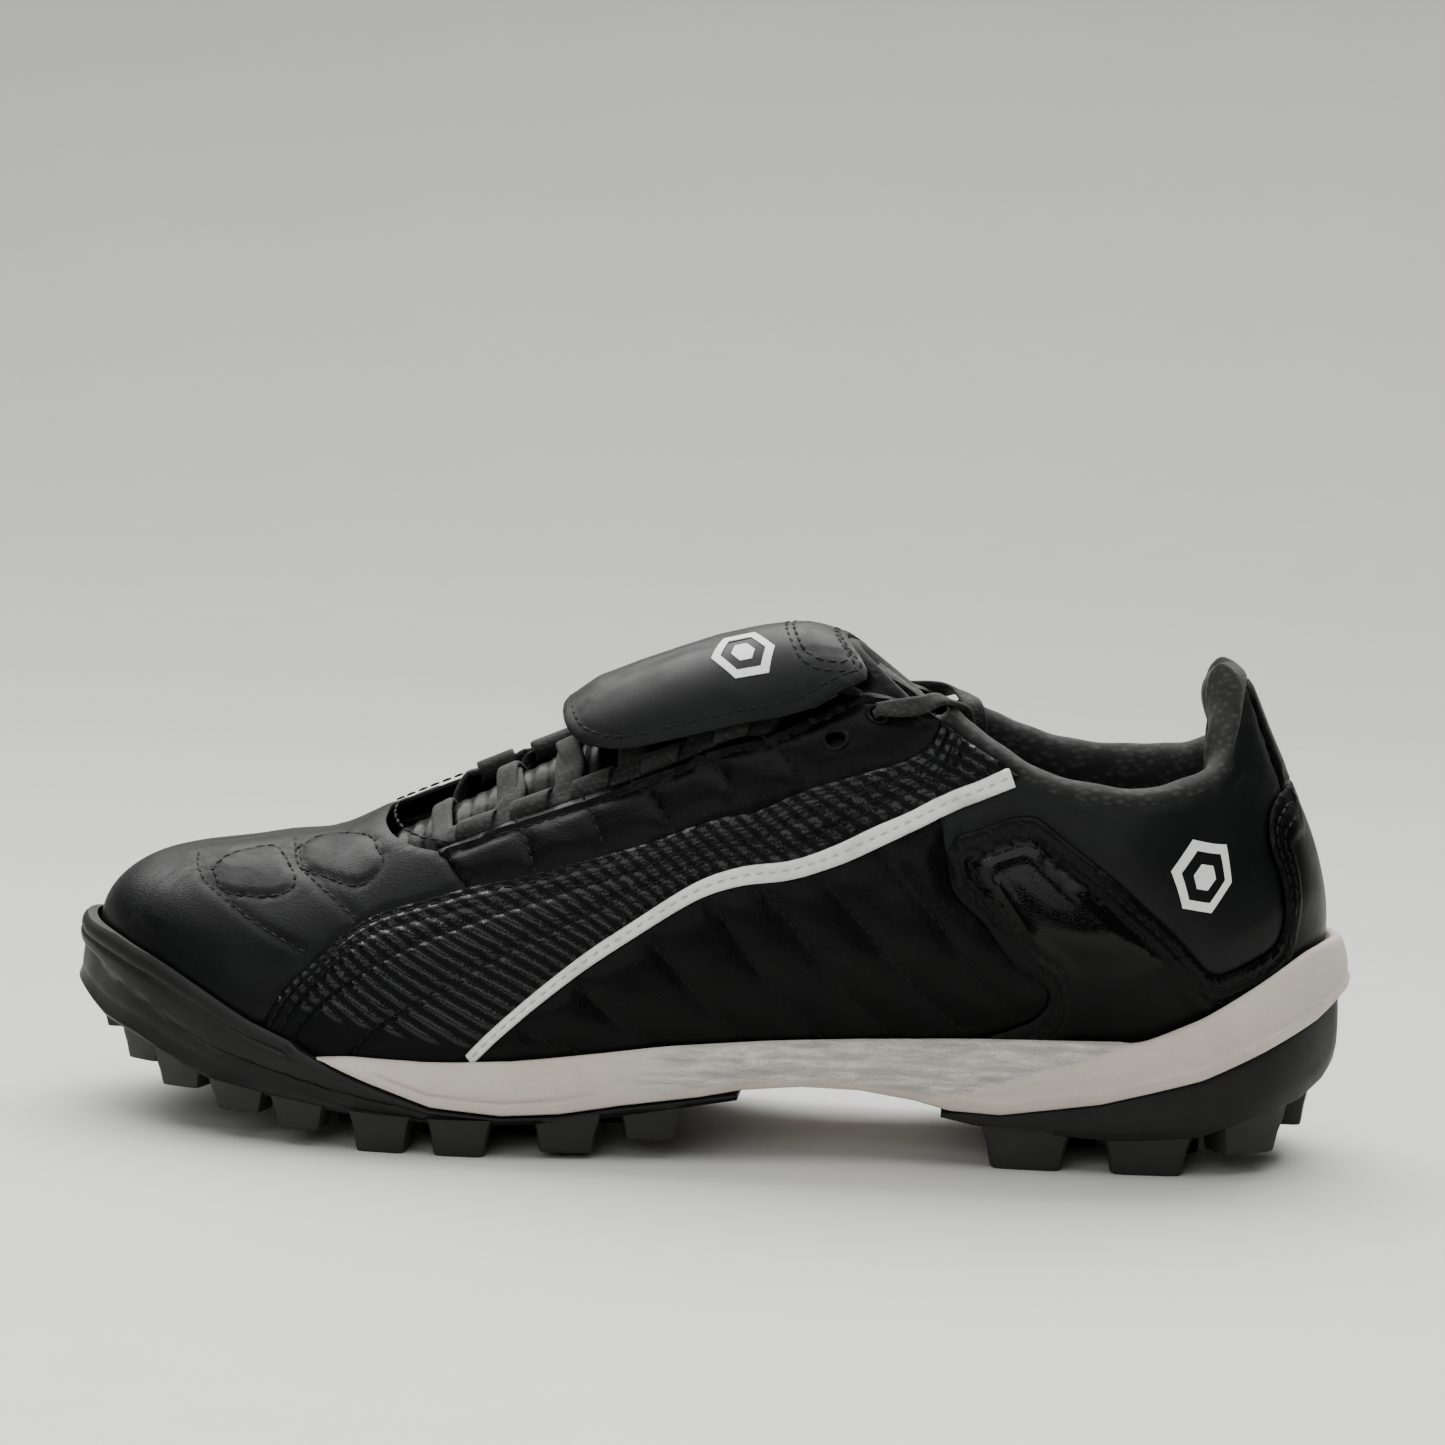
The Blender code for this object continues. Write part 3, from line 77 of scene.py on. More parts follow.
# ---- design surface, as in the CAD source -----------------------------------------------------------------------------
# One rib per row, from the heel round the lateral side, the toe and the medial side:
# bottom point x, y; top point x, y, z; outward bulge; upright share; crown share; 1 for an upright wall, 0 for a dome
RIBS = np.array([
    (138, 0, 125.5, 0, 112, 9.5, .40, .40, 1),
    (133, -15, 125, -8, 110, 8.5, .40, .40, 1),
    (122, -25, 123.5, -15.5, 101, 7, .40, .40, 1),
    (108, -29.5, 119, -23, 90.5, 6, .40, .40, 1),
    (90, -30, 103, -30.5, 85.8, 6, .40, .40, 1),
    (68, -30, 82, -30, 87.5, 6, .40, .40, 1),
    (50, -31, 66, -27, 95.5, 6, .42, .40, 1),
    (36, -32, 54.5, -23, 102.5, 6, .45, .42, .8),
    (20, -34, 43, -15, 108.5, 6, .50, .47, .4),
    (2, -37, 24, 1, 112.5, 5.5, .50, .46, 0),
    (-20, -41, -6, 3, 103.5, 5, .46, .44, 0),
    (-45, -44, -37, 4, 90.6, 4.5, .44, .42, 0),
    (-70, -44, -65, 5, 78.2, 4, .46, .46, 0),
    (-92, -40.5, -88, 5, 67.8, 4, .50, .52, 0),
    (-112, -33.5, -103, 5, 64.8, 4.5, .55, .60, 0),
    (-130, -20.5, -112, 5, 62.8, 6, .60, .68, 0),
    (-141, 3, -117, 5, 61.8, 7, .62, .72, 0),
    (-132, 24, -112, 5, 62.8, 6, .60, .68, 0),
    (-113, 36.5, -103, 5, 64.8, 4.5, .55, .60, 0),
    (-92, 42, -88, 5, 67.8, 4, .50, .55, 0),
    (-70, 44, -65, 5, 78.2, 4, .50, .52, 0),
    (-45, 42.5, -37, 4, 90.6, 4, .52, .50, 0),
    (-20, 38, -6, 3, 103.5, 4, .55, .50, 0),
    (2, 33, 24, 1, 112.5, 4.5, .55, .50, 0),
    (20, 30, 43, 15, 108, 5, .52, .47, .4),
    (36, 28.5, 56, 22, 100.5, 5.5, .45, .42, .8),
    (50, 28, 66, 25.5, 95, 6, .42, .40, 1),
    (68, 28, 82, 28, 90, 6, .40, .40, 1),
    (90, 28.5, 103, 28.5, 89, 6, .40, .40, 1),
    (108, 28, 119, 22, 93, 6, .40, .40, 1),
    (122, 24, 123.5, 15.5, 102, 7, .40, .40, 1),
    (133, 14.5, 125, 8, 110, 8.5, .40, .40, 1),
], float)
NR = len(RIBS)
FOOTBED = np.array([(-150, 33), (-140, 29), (-120, 24), (-100, 19.5), (-80, 16.5), (-60, 15.5), (-40, 16), (-20, 18),
                    (0, 20.5), (20, 23), (40, 25), (60, 26.5), (80, 27.5), (100, 28), (120, 28.5), (150, 29)], float)


def table(rows):
    rows = np.array(rows, float)
    return lambda x: np.interp(x, rows[:, 0], rows[:, 1])


footbed = table(FOOTBED)


def spline(rows, u):
    u = np.asarray(u, float) % NR
    i = np.floor(u).astype(int)
    f = (u - i)[..., None]
    a, b, c, d = rows[(i - 1) % NR], rows[i % NR], rows[(i + 1) % NR], rows[(i + 2) % NR]
    return 0.5 * (2 * b + (c - a) * f + (2 * a - 5 * b + 4 * c - d) * f * f + (3 * b - a - 3 * c + d) * f ** 3)


def rail(u):
    """Bottom rail point and its outward direction in plan."""
    u = np.asarray(u, float)
    p = spline(RIBS[:, :2], u)
    d = spline(RIBS[:, :2], u + .05) - spline(RIBS[:, :2], u - .05)
    n = np.stack([-d[..., 1], d[..., 0]], -1)
    return p, n / np.linalg.norm(n, axis=-1, keepdims=True)


def surf(u, t):
    u, t = np.broadcast_arrays(np.asarray(u, float), np.asarray(t, float))
    r = spline(RIBS, u)
    bx, by, tx, ty, tz, e, k1, k2, w = [r[..., k, None] for k in range(9)]
    n = rail(u)[1]
    zero = np.zeros(n.shape[:-1] + (1,))
    n = np.concatenate([n, zero], -1)
    zb = footbed(bx)
    bottom = np.concatenate([bx, by, zb], -1)
    top = np.concatenate([tx, ty, tz], -1)
    flat = np.concatenate([tx - bx, ty - by, zero], -1)
    up = np.array([0, 0, 1.0])
    high = tz - zb
    p1 = bottom + n * e * 2 + up * k1 * high
    dome = top - flat * k2
    wall = top - up * .36 * high + n * e * 1.1
    p2 = dome * (1 - w) + wall * w
    t = t[..., None]
    return bottom * (1 - t) ** 3 + 3 * p1 * t * (1 - t) ** 2 + 3 * p2 * t * t * (1 - t) + top * t ** 3


def unit(v):
    return v / np.maximum(np.linalg.norm(v, axis=-1, keepdims=True), 1e-9)


def skin(u, t, d=0.0):
    """Point of the upper, d outside the design surface. Beyond t = 1 it carries on up the collar, 100 mm per unit."""
    u, t = np.broadcast_arrays(np.asarray(u, float), np.asarray(t, float))
    tc = np.clip(t, 0, 1)
    p = surf(u, tc)
    dt = surf(u, np.clip(tc + .01, 0, 1)) - surf(u, np.clip(tc - .01, 0, 1))
    du = surf(u + .04, tc) - surf(u - .04, tc)
    n = unit(np.cross(dt, du))
    return p + n * np.asarray(d)[..., None] + unit(dt) * (np.maximum(t - 1, 0) * 100)[..., None]


def spread(u, t):
    """Plan map of the upper, spread out so that the walls keep their height."""
    p, n = rail(u)
    top = spline(RIBS[:, 2:4], u)
    t = np.asarray(t, float)[..., None]
    return top * t + (p + n * 48) * (1 - t)



# ---- meshing ------------------------------------------------------------------------------------------------------------
def build(name, points, faces, mat, body="shoe", replaces=(), slot=None, smooth=35, attrs=None):
    """Closed or open mesh from points in millimetres; it rides on a body and stands for its CAD nodes."""
    points = (np.asarray(points, float) + CENTRE) * MM
    mesh = bpy.data.meshes.new(name)
    mesh.from_pydata(points.tolist(), [], [tuple(int(v) for v in f) for f in faces])
    mesh.materials.append(mat)
    mesh.update()
    mesh.calc_loop_triangles()
    tri = np.zeros(len(mesh.loop_triangles) * 3, np.int32)
    mesh.loop_triangles.foreach_get("vertices", tri)
    co = points[tri.reshape(-1, 3)]
    if np.einsum("ij,ij->i", co[:, 0], np.cross(co[:, 1], co[:, 2])).sum() < 0:
        mesh.flip_normals()
    for key, values in (attrs or {}).items():
        a = mesh.attributes.new(key, "FLOAT", "POINT")
        a.data.foreach_set("value", np.asarray(values, np.float32))
    mesh.shade_smooth()
    mesh.set_sharp_from_angle(angle=math.radians(smooth))
    obj = bpy.data.objects.new(name, mesh)
    bpy.context.scene.collection.objects.link(obj)
    if body:
        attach(obj, body)
    if replaces:
        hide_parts(*replaces)
    return obj


def inside(points, poly):
    """Whether each point is inside the closed polygon."""
    points, poly = np.asarray(points, float), np.asarray(poly, float)
    out = np.zeros(len(points), bool)
    a, b = poly, np.roll(poly, -1, 0)
    for k in range(0, len(points), 4000):
        x, y = points[k:k + 4000, 0, None], points[k:k + 4000, 1, None]
        cross = (a[:, 1] > y) != (b[:, 1] > y)
        with np.errstate(divide="ignore", invalid="ignore"):
            at = (b[:, 0] - a[:, 0]) * (y - a[:, 1]) / (b[:, 1] - a[:, 1]) + a[:, 0]
        out[k:k + 4000] = (cross & (x < at)).sum(1) % 2 == 1
    return out


def gap_to(points, line, closed=True):
    """Distance of each point to a polygon's edge, or to an open line."""
    a = np.asarray(line, float)
    b = np.roll(a, -1, 0)
    if not closed:
        a, b = a[:-1], b[:-1]
    ab = b - a
    out = np.zeros(len(points))
    for k in range(0, len(points), 2000):
        ap = points[k:k + 2000, None, :] - a[None]
        s = np.clip((ap * ab).sum(-1) / np.maximum((ab * ab).sum(-1), 1e-12), 0, 1)
        out[k:k + 2000] = np.linalg.norm(ap - ab * s[..., None], axis=-1).min(1)
    return out


def gap_lines(points, lines):
    out = np.full(len(points), 1e9)
    for line in lines:
        out = np.minimum(out, gap_to(points, line, False))
    return out


def area(poly):
    x, y = poly[:, 0], poly[:, 1]
    return .5 * (x * np.roll(y, -1) - np.roll(x, -1) * y).sum()


def shift_line(line, by):
    """The open flat line moved sideways, to its left for a positive distance."""
    line = np.asarray(line, float)
    d = unit(np.gradient(line, axis=0))
    return line + np.stack([-d[:, 1], d[:, 0]], -1) * by


def resample(line, step, closed=False):
    line = np.asarray(line, float)
    if closed:
        line = np.vstack([line, line[:1]])
    out = []
    for a, b in zip(line[:-1], line[1:]):
        n = max(1, int(round(np.linalg.norm(b - a) / step)))
        out += [a + (b - a) * k / n for k in range(n)]
    if not closed:
        out.append(line[-1])
    return np.array(out)


def even(line, step):
    """Points at one even spacing along the line."""
    line = np.asarray(line, float)
    s = np.r_[0, np.cumsum(np.linalg.norm(np.diff(line, axis=0), axis=1))]
    n = max(2, int(round(s[-1] / step)) + 1)
    at = np.linspace(0, s[-1], n)
    return np.stack([np.interp(at, s, line[:, k]) for k in range(line.shape[1])], -1)


def triangulate(outer, holes, step, lines=()):
    outline = [np.asarray(outer, float)] + [np.asarray(h, float) for h in holes]
    low, high = outline[0].min(0), outline[0].max(0)
    rows = np.arange(low[1] + step * .5, high[1], step * .87)
    cols = np.arange(low[0], high[0], step)
    gx, gy = np.meshgrid(cols, rows)
    gx = gx + (np.arange(len(rows)) % 2 * step * .5)[:, None]
    grid = np.stack([gx.ravel(), gy.ravel()], -1)
    grid = grid[inside(grid, outline[0])]
    grid = grid[gap_to(grid, outline[0]) > step * .55]
    for hole in outline[1:]:
        grid = grid[~inside(grid, hole)]
        grid = grid[gap_to(grid, hole) > step * .5]
    points, edges, at = [], [], 0
    for loop in outline:
        points += [tuple(p) for p in loop]
        edges += [(at + k, at + (k + 1) % len(loop)) for k in range(len(loop))]
        at += len(loop)
    for line in lines:
        grid = grid[gap_to(grid, line) > step * .5]
        points += [tuple(p) for p in line]
        edges += [(at + k, at + (k + 1) % len(line)) for k in range(len(line))]
        at += len(line)
    points += [tuple(p) for p in grid]
    verts, _, faces, *_ = delaunay_2d_cdt([Vector(p) for p in points], edges, [], 0, 1e-6)
    verts = np.array([v[:] for v in verts])
    faces = np.array([tuple(f)[:3] for f in faces if len(f) == 3], int)
    mid = verts[faces].mean(1)
    keep = inside(mid, outline[0])
    for hole in outline[1:]:
        keep &= ~inside(mid, hole)
    return verts, faces[keep]


def sheet_solid(verts, faces, tops, lows):
    """Closed sheet from a flat triangulation and its two lifted faces."""
    n = len(verts)
    e = np.concatenate([faces[:, [0, 1]], faces[:, [1, 2]], faces[:, [2, 0]]])
    key = e[:, 0] * (n + 1) + e[:, 1]
    rev = e[:, 1] * (n + 1) + e[:, 0]
    edge = e[~np.isin(key, rev)]
    quads = np.stack([edge[:, 0], edge[:, 0] + n, edge[:, 1] + n, edge[:, 1]], -1)
    return np.vstack([tops, lows]), [tuple(f) for f in faces] + [tuple(f) for f in faces[:, ::-1] + n] + [tuple(q) for q in quads]


def loft(name, rings, mat, closed=False, caps=True, **more):
    rings = np.asarray(rings, float)
    k, m = rings.shape[:2]
    i = np.arange(m)
    j = (i + 1) % m
    faces = []
    for r in range(k if closed else k - 1):
        a, b = r * m, ((r + 1) % k) * m
        faces += list(zip(a + i, a + j, b + j, b + i))
    if not closed and caps:
        faces += [tuple(range(m))[::-1], tuple(range((k - 1) * m, k * m))]
    return build(name, rings.reshape(-1, 3), faces, mat, **more)


def smooth_rows(rows, n, closed=False):
    """Catmull-Rom through rows of numbers, n steps for each span."""
    p = np.asarray(rows, float)
    q = np.vstack([p[-1:], p, p[:2]]) if closed else np.vstack([2 * p[0] - p[1], p, 2 * p[-1] - p[-2]])
    out = []
    for k in range(1, len(q) - 2):
        a, b, c, d = q[k - 1], q[k], q[k + 1], q[k + 2]
        for f in np.arange(n) / n:
            out.append(.5 * (2 * b + (c - a) * f + (2 * a - 5 * b + 4 * c - d) * f * f + (3 * b - a - 3 * c + d) * f ** 3))
    if not closed:
        out.append(p[-1])
    return np.array(out)


class Upper:
    """Turns flat points back into (u, t)."""

    def __init__(self):
        self.U, self.T = np.meshgrid(np.linspace(-16, 16, 257), np.linspace(0, 1, 41), indexing="ij")
        self.U, self.T = self.U.ravel(), self.T.ravel()
        self.P = spread(self.U, self.T)
        self.tree = KDTree(len(self.P))
        for k, (x, y) in enumerate(self.P):
            self.tree.insert((x, y, 0), k)
        self.tree.balance()

    def back(self, xy):
        xy = np.atleast_2d(xy)
        k = np.array([self.tree.find((x, y, 0))[1] for x, y in xy])
        u0, t0 = self.U[k], np.minimum(self.T[k], .97)
        u, t, miss = self.newton(xy, u0.copy(), t0)
        v, s, other = self.newton(xy, -u0, t0)
        swap = other < miss - 1e-4
        return np.where(swap, v, u), np.where(swap, s, t)

    def newton(self, xy, u, t):
        for _ in range(10):
            f = spread(u, t) - xy
            ju = (spread(u + .01, t) - spread(u - .01, t)) / .02
            jt = (spread(u, t + .01) - spread(u, t - .01)) / .02
            det = ju[:, 0] * jt[:, 1] - ju[:, 1] * jt[:, 0]
            det = np.where(np.abs(det) < 1e-6, 1e-6, det)
            su = (f[:, 0] * jt[:, 1] - f[:, 1] * jt[:, 0]) / det
            st = (ju[:, 0] * f[:, 1] - ju[:, 1] * f[:, 0]) / det
            u = u - np.clip(su, -.5, .5)
            t = np.clip(t - np.clip(st, -.2, .2), 0, 1)
        return u, t, np.linalg.norm(spread(u, t) - xy, axis=-1)


UPPER = Upper()


def flat(line):
    line = np.asarray(line, float)
    return spread(line[:, 0], line[:, 1])


def curve(line, n=6):
    return smooth_rows(line, n)


def medial(line):
    line = np.array(line, float)
    line[:, 0] = -line[:, 0]
    return line[::-1]


def sides(line, side):
    return np.array(line, float) if side > 0 else medial(line)


def ramp(x, a, b):
    x = np.clip((x - a) / (b - a), 0, 1)
    return x * x * (3 - 2 * x)


def panel(name, outline, mat, slot, lift, relief=None, step=2.2, edge=1.5, holes=(), soft=.8, nodes=None, low=SKIN_IN, smooth=32, attrs=None, lines=()):
    """Leather piece of the upper. relief(flat points, u, t, distance to its edge) is added to its outer face."""
    outer = resample(flat(outline), edge, closed=True)
    cut = []
    for u, t, r in holes:
        c = spread(np.array([u]), np.array([t]))[0]
        a = np.arange(20) * math.tau / 20
        cut.append(np.stack([c[0] + r * np.cos(a), c[1] + r * np.sin(a)], -1))
    verts, faces = triangulate(outer, cut, step, lines)
    u, t = UPPER.back(verts)
    rim = gap_to(verts, outer)
    for hole in cut:
        rim = np.minimum(rim, gap_to(verts, hole) + .35)
    d = SKIN_OUT + lift * np.ones(len(verts))
    r = np.clip(rim / soft, 0, 1)
    d -= soft * .75 * (1 - np.sqrt(np.clip(1 - (1 - r) ** 2, 0, 1)))
    if relief is not None:
        d += relief(verts, u, t, rim)
    d = np.maximum(d, low + .25)
    pts, solid = sheet_solid(verts, faces, skin(u, t, d), skin(u, t, low))
    LAID.append((pts, [tuple(int(v) for v in f) for f in faces]))
    extra = {k: np.r_[f(verts, u, t), f(verts, u, t)] for k, f in (attrs or {}).items()}
    return build(name, pts, solid, mat, replaces=nodes or [name], slot=slot, smooth=smooth, attrs=extra)


THREADS = {}
PIPES = []       # flat lines of the piping, which other stitch rows stop short of
LAID = []        # closed sheets that stitches lie on, as (points, faces) in millimetres


def stitches(group, path, ups, mat, pitch=2.9, long=2.45, wide=.80, high=.62, body="shoe", sink=.08, skip=False):
    """Thread stitches along a 3-D path; all of one group end up in one mesh."""
    path = np.asarray(path, float)
    ups = np.broadcast_to(np.asarray(ups, float), path.shape)
    rows = even(np.hstack([path, ups]), pitch)
    if len(rows) < 3:
        return
    bag = THREADS.setdefault(group, {"jobs": [], "mat": mat, "body": body})
    bag["jobs"].append((rows[:, :3], unit(rows[:, 3:]), long, wide, high, sink, skip))


def lay_down(p, n, trees, sink, skip):
    """Each stitch's centre moved along its own up direction onto the surface under it."""
    p = p.copy()
    if skip:
        return p
    for k in range(len(p)):
        best = None
        for tree in trees:
            hit = tree.ray_cast(Vector(p[k] + n[k] * 4.5), Vector(-n[k]), 8.0)
            if hit[0] is not None and (best is None or hit[3] < best[3]):
                best = hit
        if best is not None:
            p[k] = np.array(best[0][:]) - n[k] * sink
    return p


def finish_threads():
    points = np.vstack([p for p, _ in LAID])
    at, faces = 0, []
    for p, f in LAID:
        faces += [tuple(at + v for v in face) for face in f]
        at += len(p)
    trees = [BVHTree.FromPolygons(points.tolist(), faces)]
    prof = [(-.5, .25), (-.36, .8), (0, 1), (.36, .8), (.5, .25)]
    m = 6
    ang = np.arange(m) * math.tau / m
    for name, bag in THREADS.items():
        points, faces = [], []
        for p, n, long, wide, high, sink, skip in bag["jobs"]:
            p = lay_down(p, n, trees, sink, skip)
            tan = unit(np.gradient(p, axis=0))
            side = unit(np.cross(n, tan))
            for c, a, s, q in zip(p, tan, side, n):
                a = unit(a + s * rng.normal(0, .05))
                s = unit(np.cross(q, a))
                q = unit(np.cross(a, s))
                base = len(points)
                for f, w in prof:
                    for g in ang:
                        points.append(c + a * f * long + s * math.cos(g) * wide / 2 * w + q * (math.sin(g) * high / 2 * w + (w - .7) * .14))
                for k in range(len(prof) - 1):
                    for i in range(m):
                        j = (i + 1) % m
                        faces.append((base + k * m + i, base + k * m + j, base + (k + 1) * m + j, base + (k + 1) * m + i))
                faces.append(tuple(base + i for i in range(m))[::-1])
                faces.append(tuple(base + (len(prof) - 1) * m + i for i in range(m)))
        build(name, points, faces, bag["mat"], body=bag["body"], smooth=80)


def sew(group, line, d, mat, is_flat=False, smooth=6, **more):
    """Stitches along a (u, t) or flat line on the upper, at offset d."""
    p = np.asarray(line, float) if is_flat else flat(curve(line, smooth))
    p = even(p, 1.2)
    runs = [p]
    if "piping" not in group and PIPES:
        clear = gap_lines(p, PIPES) > 3.2
        cuts = np.nonzero(np.diff(clear.astype(int)))[0] + 1
        runs = [run for run, ok in zip(np.split(p, cuts), np.split(clear, cuts)) if ok[0] and len(run) > 4]
    for run in runs:
        u, t = UPPER.back(run)
        stitches(group, skin(u, t, d), skin(u, t, d + 1) - skin(u, t, d), mat, **more)

rim_z = table([(-150, 45.6), (-147.4, 45.6), (-143.7, 43.6), (-136.3, 42.5), (-125.1, 39.2), (-114.4, 34.2), (-101.4, 27.8), (-88.9, 23.3), (-83.8, 22.3), (-74.4, 21.6),
               (-55.5, 21.5), (-37.2, 22.7), (-22.6, 24.4), (-5.7, 26.5), (16.8, 28.1), (39.6, 29.1), (62.5, 30), (85.4, 30.7), (103.7, 31.3), (117.1, 37.2),
               (130.4, 45.4), (139.4, 51.3), (143.3, 52.9), (150, 53)])
ledge_z = table([(-150, 90), (-97.5, 60), (-90.5, 23.4), (-83.0, 19.9), (-71.8, 15.9), (-57.6, 11.2), (-41.4, 9.9), (-27.7, 10.7), (-14.2, 12.9), (3.8, 15.1), (12.8, 16.8), (26.4, 17.8), (40.1, 17.3),
                 (53.9, 15.2), (60.9, 13.6), (72.4, 13.2), (95.2, 16.9), (117.7, 23.3), (131.2, 29.6), (142.5, 35.4), (148.4, 40), (152, 41)])
tread_z = table([(-152, 28.5), (-147.5, 26.5), (-140, 22.4), (-130.7, 20.2), (-119.9, 15.8), (-110.8, 12.7), (-99, 10.9), (-84.1, 8.9), (-69.6, 7.6), (-57.8, 7.4), (-41.5, 7.6),
                 (-27.8, 8.6), (-9.7, 10.9), (3.6, 12.9), (14, 14.6), (30, 14.6), (59, 11.5), (66, 10), (72.5, 9.2), (81.7, 8.5), (100.1, 8), (118.3, 9.4), (131.9, 13.9), (141.1, 16.2), (146.9, 19.9), (151, 25)])
SOLE_OUT = np.array([(11.2,), (9,), (7.5,), (5.5,), (5,), (4.5,), (4.5,), (4.5,), (4.8,), (5,), (5.2,), (5.5,), (5,), (5,), (5.5,), (7.2,), (9.7,), (7.2,), (5.5,), (5,), (5,), (5.2,), (5,), (5,),
                     (4.8,), (4.5,), (4.5,), (4.5,), (5,), (5.5,), (7.5,), (9,)])


def sole_out(u):
    return spline(SOLE_OUT, u)[..., 0]


def edge_xy(u, off):
    p, n = rail(u)
    return p + n * np.asarray(off)[..., None]


def ring(xy, z):
    return np.concatenate([xy, np.broadcast_to(np.asarray(z, float), xy.shape[:1])[:, None]], -1)



# ---- materials: all procedural, scaled in metres from the object's own coordinates ----------------------------------
class Nodes:
    """A material's node tree, built with short calls."""

    def __init__(self, name):
        self.mat = bpy.data.materials.new(name)
        self.mat.use_nodes = True
        self.tree = self.mat.node_tree
        self.shader = self.tree.nodes["Principled BSDF"]
        self.at = self.tree.nodes.new("ShaderNodeTexCoord").outputs["Object"]

    def new(self, kind, ins=None, **props):
        node = self.tree.nodes.new(kind)
        for k, v in props.items():
            setattr(node, k, v)
        for k, v in (ins or {}).items():
            if isinstance(v, bpy.types.NodeSocket):
                self.tree.links.new(v, node.inputs[k])
            else:
                node.inputs[k].default_value = v
        return node

    def noise(self, scale, detail=3.0, rough=.5, distort=0.0, at=None):
        return self.new("ShaderNodeTexNoise", {"Vector": at or self.at, "Scale": scale, "Detail": detail, "Roughness": rough, "Distortion": distort}).outputs["Fac"]

    def cells(self, scale, feature="DISTANCE_TO_EDGE", at=None, rand=1.0):
        node = self.new("ShaderNodeTexVoronoi", {"Vector": at or self.at, "Scale": scale, "Randomness": rand}, feature=feature)
        return node.outputs["Distance"]

    def math(self, op, a, b=0.0, c=None):
        ins = {0: a, 1: b}
        if c is not None:
            ins[2] = c
        return self.new("ShaderNodeMath", ins, operation=op).outputs[0]

    def span(self, value, a, b, c=0.0, d=1.0, kind="LINEAR"):
        return self.new("ShaderNodeMapRange", {0: value, 1: a, 2: b, 3: c, 4: d}, interpolation_type=kind).outputs[0]

    def mix(self, fac, a, b):
        node = self.new("ShaderNodeMix", data_type="RGBA")
        for key, v in ((0, fac), (6, a), (7, b)):
            if isinstance(v, bpy.types.NodeSocket):
                self.tree.links.new(v, node.inputs[key])
            else:
                node.inputs[key].default_value = v
        return node.outputs[2]

    def stretch(self, scale, rotate=(0, 0, 0)):
        return self.new("ShaderNodeMapping", {"Vector": self.at, "Scale": scale, "Rotation": rotate}).outputs["Vector"]

    def attr(self, name):
        return self.new("ShaderNodeAttribute", attribute_name=name).outputs["Fac"]

    def bump(self, height, strength, dist, normal=None):
        ins = {"Height": height, "Strength": strength, "Distance": dist}
        if normal is not None:
            ins["Normal"] = normal
        return self.new("ShaderNodeBump", ins).outputs["Normal"]

    def link(self, key, value):
        if isinstance(value, bpy.types.NodeSocket):
            self.tree.links.new(value, self.shader.inputs[key])
        else:
            self.shader.inputs[key].default_value = value


def grey(v, warm=0.0):
    return (v * (1 + warm), v, v * (1 - warm), 1)


def leather(name, base=.012, rough=.40, spread_r=.10, grain=1.0, grain_scale=1500, crease=1.0, crease_scale=55, coat=0.0, coat_rough=.2, dust=.5, spec=.5, wrinkle=0.0):
    n = Nodes(name)
    cell = n.cells(grain_scale)
    pebble = n.span(cell, 0.0, .35, 0, 1)
    fine = n.noise(grain_scale * 1.7, 4, .6)
    fold_at = n.stretch((1.0, 1.0, 1.7))
    fold = n.noise(crease_scale, 6, .58, .6, fold_at)
    ridge = n.math("ABSOLUTE", n.math("SUBTRACT", fold, .5))
    line = n.span(ridge, 0.0, .045, 1, 0, "SMOOTHSTEP")
    patch = n.noise(18, 3, .5)
    line = n.math("MULTIPLY", line, n.span(patch, .42, .62, 0, 1))
    big = n.noise(crease_scale * .45, 3, .5)
    normal = n.bump(big, .35 * crease, .0022)
    if wrinkle:
        crinkle = n.noise(420, 5, .62, 1.2)
        normal = n.bump(n.math("ABSOLUTE", n.math("SUBTRACT", crinkle, .5)), .55 * wrinkle, .0006, normal)
    normal = n.bump(line, -.55 * crease, .0006, normal)
    normal = n.bump(pebble, .35 * grain, .00016, normal)
    normal = n.bump(fine, .30 * grain, .00010, normal)
    n.link("Normal", normal)
    mottle = n.noise(140, 4, .6)
    speck = n.math("GREATER_THAN", n.noise(1900, 2, .5), .735)
    dusty = n.math("MULTIPLY", speck, n.span(n.noise(45, 2, .5), .5, .7, 0, dust))
    tone = n.mix(n.span(mottle, .3, .7), grey(base * .82, -.06), grey(base * 1.22, -.10))
    tone = n.mix(n.math("MULTIPLY", line, .35), tone, grey(base * 2.2))
    n.link("Base Color", n.mix(dusty, tone, grey(.05)))
    r = n.span(n.noise(75, 4, .6), .3, .7, rough - spread_r, rough + spread_r)
    r = n.math("ADD", r, n.math("MULTIPLY", line, .12))
    n.link("Roughness", n.math("ADD", r, n.math("MULTIPLY", dusty, .3)))
    n.link("Specular IOR Level", spec)
    n.link("Coat Weight", coat)
    n.link("Coat Roughness", coat_rough)
    return n


